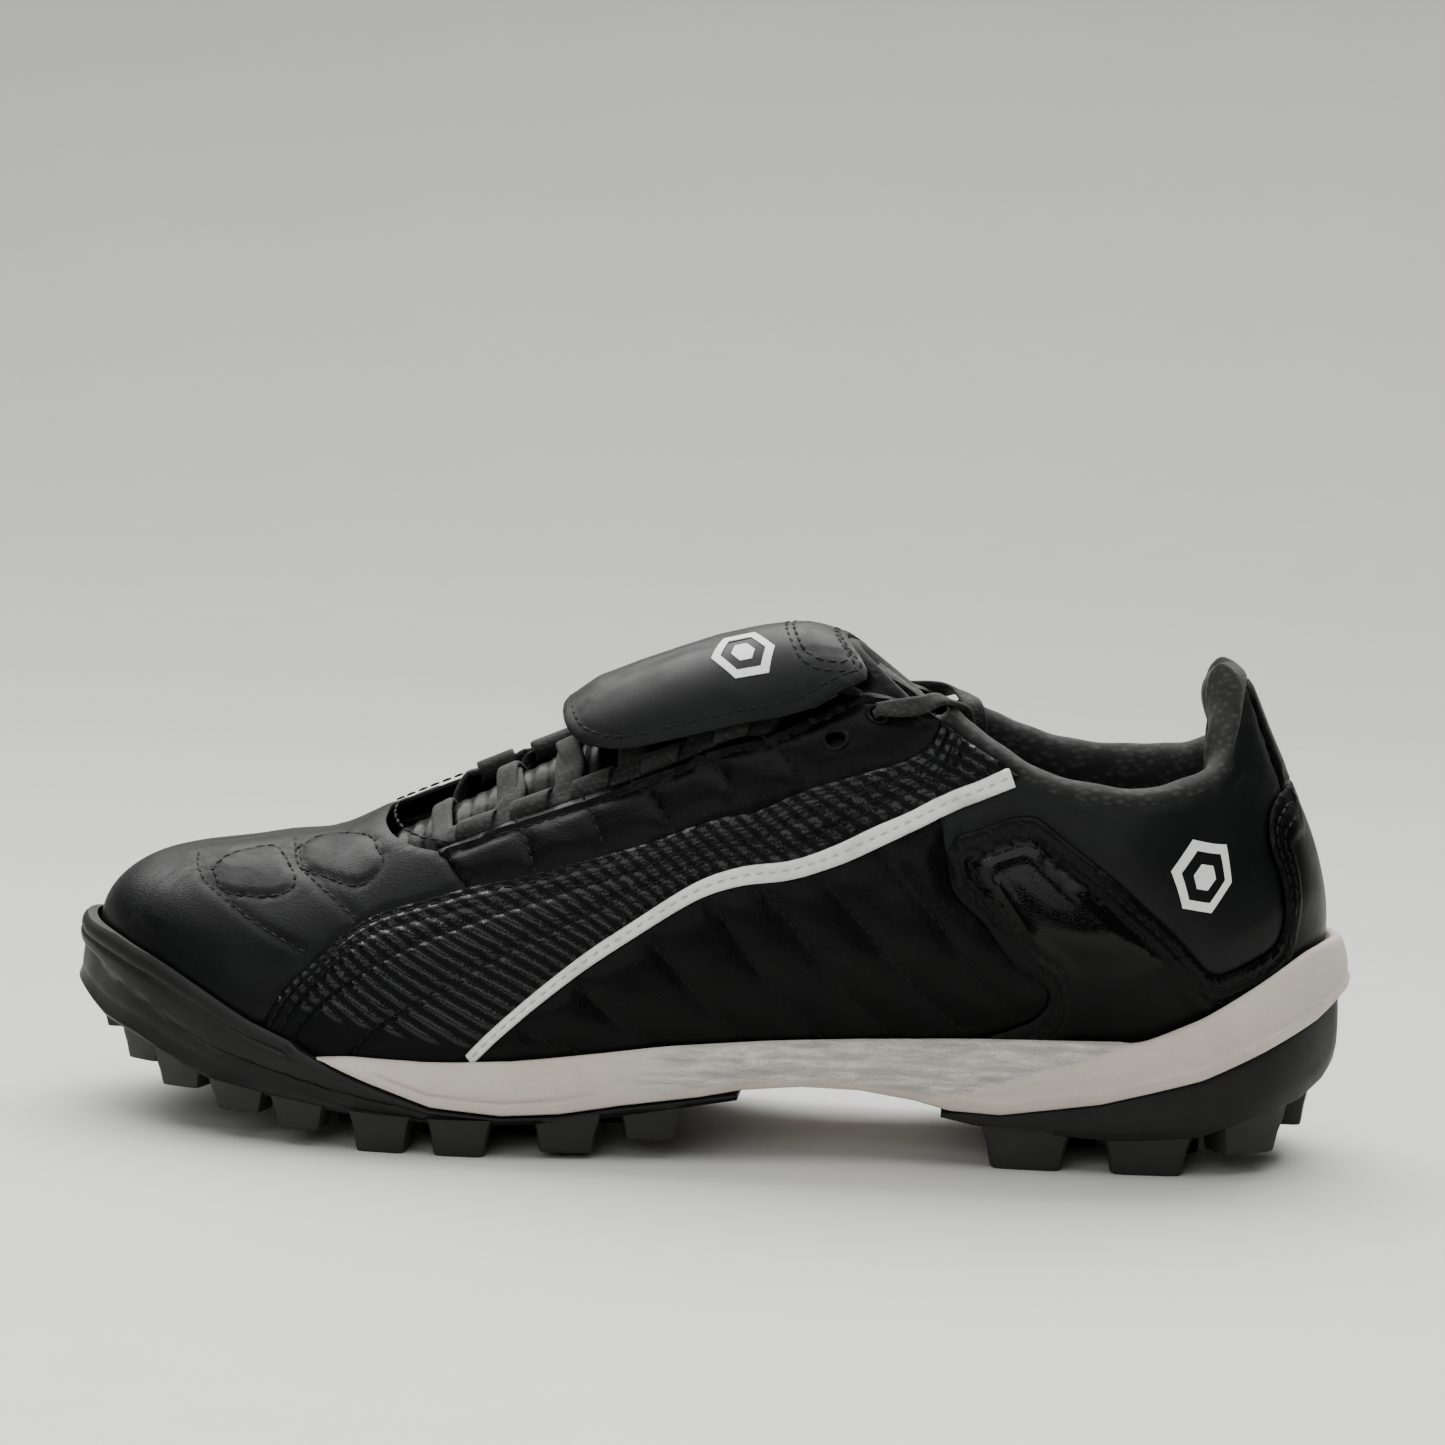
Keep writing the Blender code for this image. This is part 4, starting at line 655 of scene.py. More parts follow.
def textile(name, base=.012, scale=620, deep=1.0, sheen=.25, weave="mesh", rough=.85):
    """Knit or woven cloth; weave is mesh (open air mesh), rib (ribbed band) or plain. Its colour carries painted light
    and shade: lighter on the raised threads and loops, darker in the holes and hollows.
    """
    n = Nodes(name)
    if weave == "mesh":
        hole = n.span(n.cells(scale, "F1", rand=.12), .20, .40, 1, 0, "SMOOTHSTEP")
        thread = n.noise(scale * 5, 3, .6)
        normal = n.bump(hole, -.9 * deep, .0009)
        normal = n.bump(thread, .4, .0002, normal)
        # painted highlight and shade: the mesh threads are painted light as if catching light, and the holes nearly
        # black as if in shade
        tone = n.mix(hole, grey(base * 3.6), grey(base * .08))
    elif weave == "rib":
        at = n.stretch((.62, 1.0, 1.15), (.3, .5, .2))
        b = n.span(n.cells(scale, "F1", at=at, rand=.55), .12, .55, 0, 1, "SMOOTHSTEP")
        strand = n.noise(scale * 4.5, 3, .6, 0, at)
        normal = n.bump(b, -.9 * deep, .0009)
        normal = n.bump(strand, .5, .0003, normal)
        # painted light and shade: each knit loop is painted light at its raised centre and dark at its sunken border
        tone = n.mix(b, grey(base * 3.4), grey(base * .15))
    else:
        a = n.cells(scale * 1.6, "F1", rand=.3)
        normal = n.bump(a, -.7 * deep, .0003)
        # painted shade: lighter at the raised cell centres, darker at their sunken edges
        tone = n.mix(n.span(a, .1, .7), grey(base * 1.5), grey(base * .6))
    lint = n.math("GREATER_THAN", n.noise(1300, 2, .5), .74)
    n.link("Base Color", n.mix(n.math("MULTIPLY", lint, .35), tone, grey(.08)))
    n.link("Normal", normal)
    n.link("Roughness", n.span(n.noise(200, 3, .5), .3, .7, rough - .08, min(1, rough + .08)))
    n.link("Sheen Weight", sheen)
    n.link("Sheen Roughness", .5)
    return n


def rubber_mat(name, base=.012, rough=.55, pebble=1.0, scale=1050):
    n = Nodes(name)
    cell = n.cells(scale, "SMOOTH_F1")
    normal = n.bump(n.noise(60, 3, .5), .12, .001)
    normal = n.bump(n.span(cell, .1, .6), -.8 * pebble, .0006, normal)
    normal = n.bump(n.noise(3600, 2, .5), .2, .0001, normal)
    n.link("Normal", normal)
    scuff = n.span(n.noise(34, 5, .65), .52, .72, 0, 1)
    tone = n.mix(n.math("MULTIPLY", scuff, .45), grey(base), grey(base * 2.3, .03))
    speck = n.math("GREATER_THAN", n.noise(2300, 2, .5), .75)
    n.link("Base Color", n.mix(n.math("MULTIPLY", speck, .3), tone, grey(.10, .05)))
    n.link("Roughness", n.span(n.noise(90, 4, .6), .3, .7, rough - .07, rough + .10))
    n.link("Specular IOR Level", .24)
    return n


M = {}
M["vamp"] = leather("satin_black_leather", .0036, .44, .09, grain=.6, grain_scale=1100, crease=1.0, crease_scale=42, coat=.02, coat_rough=.25, dust=.35, spec=.112).mat
M["gloss"] = leather("gloss_crinkle_leather", .0015, .33, .07, grain=.7, grain_scale=1000, crease=.9, crease_scale=70, coat=.03, coat_rough=.2, dust=.30, spec=.078, wrinkle=.4).mat
M["quarter"] = leather("smooth_quarter_leather", .0046, .46, .08, grain=.5, grain_scale=1700, crease=.8, crease_scale=38, coat=.02, coat_rough=.3, dust=.4, spec=.150).mat
n = leather("moulded_counter_leather", .0020, .36, .08, grain=.4, grain_scale=1500, crease=.5, crease_scale=40, coat=.02, coat_rough=.12, dust=.3, spec=.09)
shine = n.attr("shine")
rough_from = n.shader.inputs["Roughness"].links[0].from_socket
n.link("Roughness", n.math("MULTIPLY", rough_from, n.span(shine, 0, 1, 1, .22)))
n.link("Specular IOR Level", n.span(shine, 0, 1, .09, .12))
n.link("Coat Weight", n.span(shine, 0, 1, .02, .05))
M["counter"] = n.mat
M["flap"] = leather("flap_leather", .0051, .44, .07, grain=.5, grain_scale=1900, crease=.9, crease_scale=30, coat=.02, coat_rough=.3, dust=.35, spec=.150).mat
M["edge"] = leather("cut_leather_edge", .0075, .6, .08, grain=.8, grain_scale=2400, crease=.3, dust=.2, spec=.238).mat

n = leather("ribbed_side_leather", .0028, .36, .07, grain=.5, grain_scale=1300, crease=.4, crease_scale=50, coat=.02, coat_rough=.2, dust=.3, spec=.14)
rib = n.attr("rib")
n.link("Roughness", n.span(rib, .25, .75, .50, .15))
n.link("Specular IOR Level", n.span(rib, .25, .75, .06, .24))
M["side"] = n.mat

n = leather("gloss_window", .0018, .12, .04, grain=.08, grain_scale=1400, crease=.7, crease_scale=26, coat=.14, coat_rough=.06, dust=.12, spec=.24)
M["window"] = n.mat

n = leather("patent_ribbed_leather", .0022, .30, .05, grain=.25, grain_scale=1500, crease=.6, crease_scale=60, coat=.03, coat_rough=.2, dust=.2, spec=.10)
M["patent"] = n.mat

M["mesh"] = textile("air_mesh", .0085, 480, 1.3, .08, "mesh").mat
M["knit"] = textile("ribbed_collar_knit", .0068, 560, 1.5, .08, "rib").mat
M["lining"] = textile("plain_lining", .008, 700, .7, .08, "plain").mat
M["lace"] = textile("woven_lace", .0060, 900, 1.3, .06, "rib", .78).mat
M["felt"] = textile("felt_backing", .0050, 900, .8, .15, "plain", .95).mat
M["insole"] = textile("sockliner_cloth", .012, 780, .6, .08, "plain", .9).mat

n = Nodes("black_thread")
tw = n.new("ShaderNodeTexWave", {"Vector": n.at, "Scale": 900, "Distortion": 1.0}, bands_direction="DIAGONAL").outputs["Fac"]
n.link("Normal", n.bump(tw, .5, .0002))
n.link("Base Color", n.mix(n.noise(260, 3, .5), grey(.003), grey(.010)))
n.link("Roughness", n.span(n.noise(500, 2, .5), .3, .7, .45, .62))
n.link("Specular IOR Level", .13)
M["thread"] = n.mat

n = Nodes("white_thread")
n.link("Base Color", n.mix(n.noise(700, 3, .5), grey(.34), grey(.52, .01)))
n.link("Normal", n.bump(n.noise(2600, 3, .5), .5, .0002))
n.link("Roughness", n.span(n.noise(500, 2, .5), .3, .7, .55, .75))
M["white_thread"] = n.mat

n = Nodes("white_piping_skin")
soil = n.noise(120, 5, .65)
n.link("Base Color", n.mix(n.span(soil, .50, .78), grey(.74, .004), grey(.46, .02)))
normal = n.bump(n.noise(260, 4, .55), .30, .0004)
n.link("Normal", n.bump(n.noise(2400, 3, .5), .25, .0001, normal))
n.link("Roughness", n.span(n.noise(300, 3, .5), .3, .7, .36, .52))
M["piping"] = n.mat

n = Nodes("white_print")
wear = n.math("MULTIPLY", n.span(n.noise(420, 5, .7), .63, .70, 0, 1), .6)
n.link("Base Color", n.mix(wear, grey(.80), grey(.25)))
n.link("Normal", n.bump(n.noise(900, 4, .6), .15, .0001))
n.link("Roughness", n.span(n.noise(200, 3, .5), .3, .7, .38, .52))
M["print"] = n.mat

n = Nodes("midsole_foam")
grime = n.noise(26, 6, .68)
fine = n.noise(520, 4, .6)
tone = n.mix(n.span(grime, .42, .72), grey(.54, .115), grey(.43, .145))
tone = n.mix(n.math("MULTIPLY", n.span(fine, .55, .8), .35), tone, grey(.36, .05))
black = n.math("GREATER_THAN", n.noise(1250, 2, .5), .745)
# painted light: the wrinkled middle band of the foam, which takes light from the floor, is painted lighter through the
# wrinkle attribute
tone = n.mix(n.math("MULTIPLY", n.attr("wrinkle"), .6), tone, grey(.80, .06))
n.link("Base Color", n.mix(n.math("MULTIPLY", black, .35), tone, grey(.16, .06)))
wr_at = n.stretch((.55, .8, 1.9))
wr = n.noise(210, 5, .62, 1.6, wr_at)
wr = n.math("ABSOLUTE", n.math("SUBTRACT", wr, .5))
normal = n.bump(n.math("MULTIPLY", wr, n.attr("wrinkle")), 1.0, .0030)
grain = n.cells(950, "SMOOTH_F1")
normal = n.bump(grain, -.45, .0006, normal)
n.link("Normal", n.bump(n.noise(2600, 3, .6), .3, .0001, normal))
n.link("Roughness", n.span(n.noise(130, 4, .6), .3, .7, .50, .68))
n.link("Specular IOR Level", .35)
M["midsole"] = n.mat

M["rubber"] = rubber_mat("outsole_rubber", .0070, .48, 2.4, 720).mat
M["lug"] = rubber_mat("lug_rubber", .020, .46, .25, 1500).mat

n = Nodes("aglet_plastic")
n.link("Base Color", n.mix(n.noise(200, 3, .5), grey(.012), grey(.03)))
n.link("Roughness", n.span(n.noise(300, 3, .5), .3, .7, .16, .30))
n.link("Normal", n.bump(n.new("ShaderNodeTexWave", {"Vector": n.at, "Scale": 500}).outputs["Fac"], .2, .0002))
M["aglet"] = n.mat

n = Nodes("fibre_board")
n.link("Base Color", n.mix(n.noise(300, 6, .7), grey(.30, .12), grey(.42, .10)))
n.link("Normal", n.bump(n.noise(1400, 4, .6), .5, .0002))
n.link("Roughness", n.span(n.noise(300, 3, .5), .3, .7, .8, .95))
M["board"] = n.mat

n = Nodes("open_cell_foam")
# painted shade: the foam is darker at the sunken cell edges and lighter at the raised cell centres
n.link("Base Color", n.mix(n.cells(1600, "F1"), grey(.20, .01), grey(.06)))
n.link("Normal", n.bump(n.cells(1600, "F1"), -.8, .0004))
n.link("Roughness", n.span(n.noise(300, 3, .5), .3, .7, .85, .98))
M["foam"] = n.mat

# ---- sole ---------------------------------------------------------------------------------------------------------------
def rim_t(u):
    """Height on the upper, as t, where the sole's rim meets it."""
    t = np.linspace(0, .6, 241)
    uu, tt = np.meshgrid(u, t, indexing="ij")
    p = surf(uu, tt)
    over = p[..., 2] - rim_z(p[..., 0])
    k = np.maximum((over > 0).argmax(1), 6)
    i = np.arange(len(u))
    a, b = over[i, k - 1], over[i, k]
    f = np.where((a < 0) & (b > 0), a / np.minimum(a - b, -1e-9), 1)
    return t[k - 1] + (t[k] - t[k - 1]) * np.clip(f, 0, 1)


def blur(v, n, closed=True):
    """Running mean over n stations to each side."""
    v = np.asarray(v, float)
    if closed:
        return sum(np.roll(v, k, 0) for k in range(-n, n + 1)) / (2 * n + 1)
    w = np.concatenate([np.repeat(v[:1], n, 0), v, np.repeat(v[-1:], n, 0)])
    return sum(w[n + k:n + k + len(v)] for k in range(-n, n + 1)) / (2 * n + 1)


def ring_solid(name, rings, mat, open_ends=False, **more):
    rings = np.asarray(rings, float)
    m = rings.shape[1]
    i = np.arange(m)
    j = (i + 1) % m
    faces = []
    for k in range(len(rings) - 1):
        faces += list(zip(k * m + i, k * m + j, (k + 1) * m + j, (k + 1) * m + i))
    for base, flip in ((0, True), ((len(rings) - 1) * m, False)):
        pairs = [(k, (m - 1 - k) if open_ends else (m - k) % m) for k in range(m // 2 + 1)]
        for (a, b), (c, d) in zip(pairs[:-1], pairs[1:]):
            quad = []
            for v in (a, c, d, b):
                if v not in quad:
                    quad.append(v)
            if len(quad) > 2 and c <= m // 2:
                face = tuple(base + v for v in quad)
                faces.append(face[::-1] if flip else face)
            if open_ends and c >= d:
                break
    return build(name, rings.reshape(-1, 3), faces, mat, **more)


def make_midsole():
    m = 640
    u = np.arange(m) * NR / m
    so = sole_out(u)
    outer = edge_xy(u, so)
    x = outer[:, 0]
    tr = blur(rim_t(u), 3)
    rim = surf(u, tr)
    zr, zl = rim[:, 2], ledge_z(x)
    near = np.clip((rim_z(rim[:, 0]) - zl) / 3.5, 0, 1)
    s = blur(near, 4)
    xc = edge_xy(u, so - 3.3)
    core = np.where(xc[:, 0] < 13.5, tread_z(xc[:, 0]) + 3.5, np.where(xc[:, 0] > 60, tread_z(xc[:, 0]) + 4.0, 99))
    core = np.minimum(core, zl - .5)
    off = so - 3.3 * (1 - s)
    tm = tr * (1 - .6 * (1 - s))
    zm = surf(u, tm)[:, 2]
    ledge = np.where(near > 0, np.minimum(zl, zm - .6), zm - .6)
    core = np.minimum(core, ledge - .4)
    high = np.maximum(zm - ledge, .6)
    # the heel cup's edge climbs from the arch's lower edge to the rim
    sweep = table([(40, 8), (54, 15.4), (70, 19.6), (85, 25.0), (96, 29.0), (104, 33), (150, 80)])
    rings, wr = [ring(xc, core), ring(xc, ledge), ring(edge_xy(u, off - 1.2), ledge - .02)], [0 * u, 0 * u, 0 * u]
    levels = np.r_[0, .02, .05, .09, np.linspace(.13, .86, 22), .90, .94, .97, .99, 1.0]
    for f in levels:
        z = ledge + high * f
        body = .95 * np.sin(math.pi * np.clip(f, 0, 1) ** .8) * s
        lean = -1.3 * s * f ** 3 - .8 * (1 - s) * ramp(np.array([f]), 0, .75)[0]
        corner = 1.0 * (1 - math.sqrt(max(0, 1 - (max(0, (f - .93) / .07)) ** 2)))
        low_corner = .9 * (1 - math.sqrt(max(0, 1 - (max(0, 1 - f / .05)) ** 2)))
        cup = ramp(sweep(x) - z, -.45, .45) * s * (x > 44) * ramp(x, 44, 62)
        lip = ramp(3.4 - (z - ledge), -.35, .35) * s * ramp(x, 50, 75)
        groove = np.exp(-((z - ledge - 2.9 - .018 * (x + 70)) / .42) ** 2) * s * ramp(x, -74, -66) * (1 - ramp(x, -26, -18))
        d = body + lean - corner - low_corner + 1.25 * cup + .75 * lip - .8 * groove
        rings.append(ring(edge_xy(u, off + d), z))
        # the wrinkle attribute marks the wrinkled middle band; it sets the foam's wrinkle bump and also its painted
        # light
        wr.append(s * (1 - cup) * ramp(x, -20, 12) * ramp(np.array([f]), .05, .3)[0] + .10)
    rings += [skin(u, tm, 1.45), skin(u, tm * .97, .95), skin(u, tm * .5, .5), ring(edge_xy(u, .3), footbed(edge_xy(u, 0)[:, 0]) - .45)]
    wr += [0 * u] * 4
    ring_solid("midsole_foam", rings, M["midsole"], replaces=["midsole"], slot="midsole", smooth=50, attrs={"wrinkle": np.concatenate(wr)})


def lug(cx, cy, lx, ly, z, turn):
    """Tapered block with a small chamfer round its face."""
    c, s = math.cos(math.radians(turn)), math.sin(math.radians(turn))
    top = float(tread_z(cx)) + 1.4
    shape = [(sx, sy) for sx, sy in ((-1, -.66), (-.93, -.9), (-.66, -1), (.66, -1), (.93, -.9), (1, -.66), (1, .66), (.93, .9), (.66, 1), (-.66, 1), (-.93, .9), (-1, .66))]
    points, faces = [], []
    rows = [(z, .775), (z + .12, .795), (z + .75, .825), (z + (top - z) * .55, .915), (z + (top - z) * .88, 1.02), (top, 1.10)]
    for zz, k in rows:
        for sx, sy in shape:
            px, py = sx * lx / 2 * k, sy * ly / 2 * k
            px, py = cx + px * c - py * s, cy + px * s + py * c
            points.append((px, py, zz + (float(tread_z(px)) - float(tread_z(cx)) if zz == top else 0)))
    m = len(shape)
    faces.append(tuple(range(m))[::-1])
    for k in range(len(rows) - 1):
        faces += [(k * m + i, k * m + (i + 1) % m, (k + 1) * m + (i + 1) % m, (k + 1) * m + i) for i in range(m)]
    faces.append(tuple((len(rows) - 1) * m + i for i in range(m)))
    return points, faces


def make_outsole(name, us, lugs, toe):
    u = np.asarray(us, float)
    so = sole_out(u)
    outer = edge_xy(u, so)
    x = outer[:, 0]
    tread, zl = tread_z(x), ledge_z(x)
    xc = edge_xy(u, so - 3.1)
    core = np.where(xc[:, 0] < 13.5, tread_z(xc[:, 0]) + 3.5, tread_z(xc[:, 0]) + 4.0)
    floor = np.minimum(core, zl - .5) - .35
    if toe:
        tr = blur(rim_t(u), 3, False)
        rim = surf(u, tr)
        zr = rim_z(rim[:, 0])
        mixed = np.clip((zl - .6 - zr) / 2.0 + .5, 0, 1)[:, None]
        mixed = mixed * mixed * (3 - 2 * mixed)
        top = np.minimum(zr, zl - .35)
        high = top - tread
        lean = np.clip(.13 * (high - 6), 0, 3.0) * mixed[:, 0]
        lip = skin(u, tr, .9) * mixed + ring(edge_xy(u, so - 2.7), top) * (1 - mixed)
    else:
        top = np.minimum(zl - .2, 40)
        high = top - tread
        lean = 0 * u
        mixed = np.zeros((len(u), 1))
        lip = ring(edge_xy(u, so - 2.7), top)
    fade = ramp(u, u[0], u[0] + .7) * (1 - ramp(u, u[-1] - .7, u[-1]))
    top = floor + .12 + (top - floor - .12) * np.minimum(1, fade * 3)
    high = np.maximum(top - tread, .5)
    lip[:, 2] = np.where(fade * 3 < 1, top, lip[:, 2])
    rings = [ring(edge_xy(u, so - 3.2), tread), ring(edge_xy(u, so - 1.6), tread + .05), ring(edge_xy(u, so - .75), tread + np.minimum(.5, high * .1)), ring(edge_xy(u, so - .25), tread + np.minimum(1.4, high * .25))]
    # two-tier wall: the lower tier is set back under the rand's edge
    step_at = np.clip((tread + 3.2 + .10 * np.clip(-x - 60, 0, 90) - tread) / high, .2, .62) if toe else 0 * u + .42
    for f in np.linspace(.22, 1, 20):
        z = tread + high * f
        z = np.maximum(z, tread + np.minimum(1.5, high * .26))
        tier = ramp(f - step_at, -.03, .03)
        bulge = .5 * np.sin(math.pi * np.clip((f - step_at) / (1 - step_at), 0, 1)) * tier
        edge = .7 * (1 - math.sqrt(max(0, 1 - (max(0, (f - .9) / .1)) ** 2)))
        groove = .5 * np.exp(-((f - .80) / .025) ** 2) * (1 if toe else 0) * mixed[:, 0]
        if not toe:
            tier, bulge = ramp(np.array([f]), .10, .24)[0], .35 * math.sin(math.pi * f)
        rings.append(ring(edge_xy(u, so - lean * np.clip((f - .3) / .7, 0, 1) - 1.05 * (1 - tier) + bulge - edge - groove), z))
    rings += [lip, ring(edge_xy(u, so - 2.75), floor + (top - floor) * .5), ring(edge_xy(u, so - 2.75), floor)]
    base = ring_solid(name, rings, M["rubber"], open_ends=True, replaces=[name.replace("_unit", "_outsole")], slot="rubber", smooth=45)
    base.data.materials.append(M["lug"])
    points, faces = [], []
    for row in lugs:
        p, f = lug(*row)
        faces += [tuple(len(points) + v for v in face) for face in f]
        points += p
    cutter = build(name + "_lugs", points, faces, M["lug"], body=None, smooth=25)
    join = base.modifiers.new("lugs", "BOOLEAN")
    join.operation, join.solver, join.object = "UNION", "EXACT", cutter
    join.material_mode = "TRANSFER"
    join.use_self = True
    graph = bpy.context.evaluated_depsgraph_get()
    made = bpy.data.meshes.new_from_object(base.evaluated_get(graph))
    base.modifiers.clear()
    before = np.array([v.co[:] for v in base.data.vertices])
    after = np.array([v.co[:] for v in made.vertices])
    if len(after) > len(before) and np.allclose(after.max(0)[:2], before.max(0)[:2], atol=1e-3) and abs(after[:, 2].max() - before[:, 2].max()) < 1e-3:
        base.data = made
    else:
        print("sole union fell back", name, len(before), len(after))
        low = np.array([v.co[:] for v in cutter.data.vertices])
        ids = [tuple(p.vertices) for p in base.data.polygons]
        more = [tuple(len(before) + v for v in p.vertices) for p in cutter.data.polygons]
        made = bpy.data.meshes.new(name + "_joined")
        made.from_pydata(np.vstack([before, low]).tolist(), [], ids + more)
        made.materials.append(M["rubber"])
        made.materials.append(M["lug"])
        made.polygons.foreach_set("material_index", [0] * len(ids) + [1] * len(more))
        base.data = made
    made.shade_smooth()
    made.set_sharp_from_angle(angle=math.radians(32))
    bpy.data.objects.remove(cutter, do_unlink=True)


# lug: centre x, y; length, width; face height; turn in degrees
FORE_LUGS = [
    (-137.5, -9, 8, 8, 19.0, 0), (-137.5, 14, 8, 8, 19.0, 0), (-128, -21, 11, 9, 13.8, -32), (-127.5, 28, 11, 9, 13.8, 32), (-131, 3, 9, 10, 15.0, 0),
    (-117.5, -30.5, 12, 10, 10.0, -20), (-118, 36, 12, 10, 10.0, 20), (-102.5, -38, 13.5, 11, 6.6, -14), (-102.5, 40.5, 13.5, 11, 6.6, 12), (-88, -42, 12.5, 11, 4.0, -8), (-88, 43, 12.5, 11, 4.0, 6),
    (-69, -44, 14, 11, 0, -3), (-69, 45, 14, 11, 0, 2), (-51, -44.5, 14.5, 11, 0, 2), (-51, 43.5, 14.5, 11, 0, -3), (-27, -41.5, 15, 11, 1.5, 7), (-27, 38.5, 15, 11, 1.5, -9), (-8, -38, 14, 10, 4.6, 8), (-8, 34.5, 14, 10, 4.6, -9),
    (-116, -8, 12, 12, 10.2, 0), (-116, 14, 12, 12, 10.2, 0), (-97, -16, 12, 12, 5.6, 0), (-97, 3, 12, 12, 5.6, 0), (-97, 22, 12, 12, 5.6, 0), (-78, -21, 12, 13, 1.9, 0), (-78, 1, 12, 13, 1.9, 0), (-78, 23, 12, 13, 1.9, 0),
    (-58, -21, 12, 13, 0, 0), (-58, 1, 12, 13, 0, 0), (-58, 22, 12, 13, 0, 0), (-38, -19, 12, 13, .6, 0), (-38, 1, 12, 13, .6, 0), (-38, 20, 12, 13, .6, 0), (-17, -14, 12, 12, 3.1, 0), (-17, 10, 12, 12, 3.1, 0),
]
HEEL_LUGS = [
    (78.6, -28, 20, 12, 0, 0), (78.6, 26.5, 20, 12, 0, 0), (106, -27.5, 20, 12, 0, 4), (106, 25.5, 20, 12, 0, -4), (127.5, -22, 17, 12, 5.0, 34), (127.5, 20.5, 17, 12, 5.0, -34),
    (137.5, 0, 11, 16, 8.0, 0), (88, -1, 15, 13, 0, 0), (112, -1, 15, 13, 0, 0),
]
make_midsole()
make_outsole("forefoot_unit", np.arange(8.5, 23.51, .06), FORE_LUGS, True)
make_outsole("heel_unit", np.arange(-5.5, 5.51, .05), HEEL_LUGS, False)

# ---- seams of the upper, as (u, t) ----------------------------------------------------------------------------------
EYE_CORNER, ANKLE_CORNER, COUNTER_CORNER = (11.38, .47), (6.68, .745), (6.3, .645)
SIDE_SEAM_A = curve([(13.4, 0), (13.25, .12), (13.05, .23), (12.75, .33), (12.5, .40), (12.2, .445), (11.85, .46), EYE_CORNER])
SIDE_SEAM_B = curve([EYE_CORNER, (10.6, .46), (10.05, .452), (9.55, .45), (9.1, .455), (8.75, .475), (8.3, .57), (7.8, .69), (7.2, .86), (6.95, 1)])
THROAT_L = curve([(11.72, .60), (11.15, .62), (10.65, .62), (10.2, .62), (9.65, .625), (9.2, .635), (8.9, .65), (8.55, .77), (8.35, .87), (8.15, .93), (7.75, .97), (7.25, 1)])
THROAT_M = curve([(-11.72, .86), (-11.15, .84), (-10.65, .84), (-10.2, .83), (-9.65, .82), (-9.2, .82), (-8.9, .825), (-8.55, .86), (-8.35, .90), (-8.15, .94), (-7.75, .975), (-7.25, 1)])
THROAT_FRONT = curve([(11.72, .60), (12.0, .65), (12.25, .73), (12.4, .83), (12.45, .93)])
THROAT_FRONT_M = curve([(-12.45, .93), (-12.3, .89), (-12.0, .87), (-11.72, .86)])
PIPING_A = curve([(11.3, 0), (11.22, .05), (11.05, .10), (10.8, .155), (10.5, .205), (10.15, .25), (9.75, .285), (9.3, .315), (8.8, .34),
                  (8.25, .38), (7.75, .46), (7.25, .59), ANKLE_CORNER])
PIPING_B = curve([ANKLE_CORNER, (6.35, .82), (6.0, .89), (5.5, 1)])
COUNTER_A = curve([(5.0, 0), (4.95, .05), (4.75, .075), (4.5, .12), (4.4, .19), (4.5, .26), (4.85, .33), (5.4, .47), (5.95, .54), COUNTER_CORNER])
COUNTER_B = curve([COUNTER_CORNER, (6.2, .71), (5.9, .77), (5.4, .875), (5.05, .88), (4.4, .76), (3.6, .56), (2.75, .33), (2.35, .25), (1.9, .26), (1.45, .29), (1.3, .35),
                   (1.3, .47), (1.45, .60), (1.35, .68), (.95, .71), (.62, .71)])
STRAP_EDGE = [(.62, .71), (.66, .85), (.75, 1)]
EYELETS_L = [(8.28, .71), (7.98, .865)]
EYELETS_M = [(-8.3, .76), (-7.98, .875)]
EYELET_R = 1.9
THREAD, WHITE = M["thread"], M["white_thread"]
J = np.vstack


def bottom(a, b, n=60):
    return np.stack([np.linspace(a, b, n), np.zeros(n)], -1)[1:-1]


def rows3(*parts):
    return J([np.asarray(p, float) for p in parts])


# vamp: stitched ovals and quilting lines on its crown, creases where the toes bend
V1 = [(15.0, .77), (14.55, .64), (14.25, .57), (13.6, .46), (12.9, .36)]
V2 = [(13.5, .87), (13.3, .73), (13.15, .67), (12.75, .55), (12.4, .45)]
OVAL1 = [(14.45, .68), (14.4, .78), (14.0, .83), (13.7, .82), (13.35, .70), (13.2, .62), (13.3, .57), (13.8, .55), (14.1, .57), (14.45, .68)]
OVAL2 = [(13.35, .81), (13.05, .88), (12.55, .78), (12.35, .68), (12.25, .62), (12.3, .57), (12.5, .56), (12.85, .62), (13.15, .68), (13.35, .81)]
PIPES += [even(flat(sides(np.vstack([PIPING_A, PIPING_B[1:]]), s)), 1.5) for s in (1, -1)]
vamp_lines = [flat(curve(sides(line, s))) for s in (1, -1) for line in (V1, V2)]
vamp_ovals = [flat(curve(sides(line, s))) for s in (1, -1) for line in (OVAL1, OVAL2)]
toe_centre = flat(np.array([(16.3, .62), (16.3, .78), (16.3, .93)]))


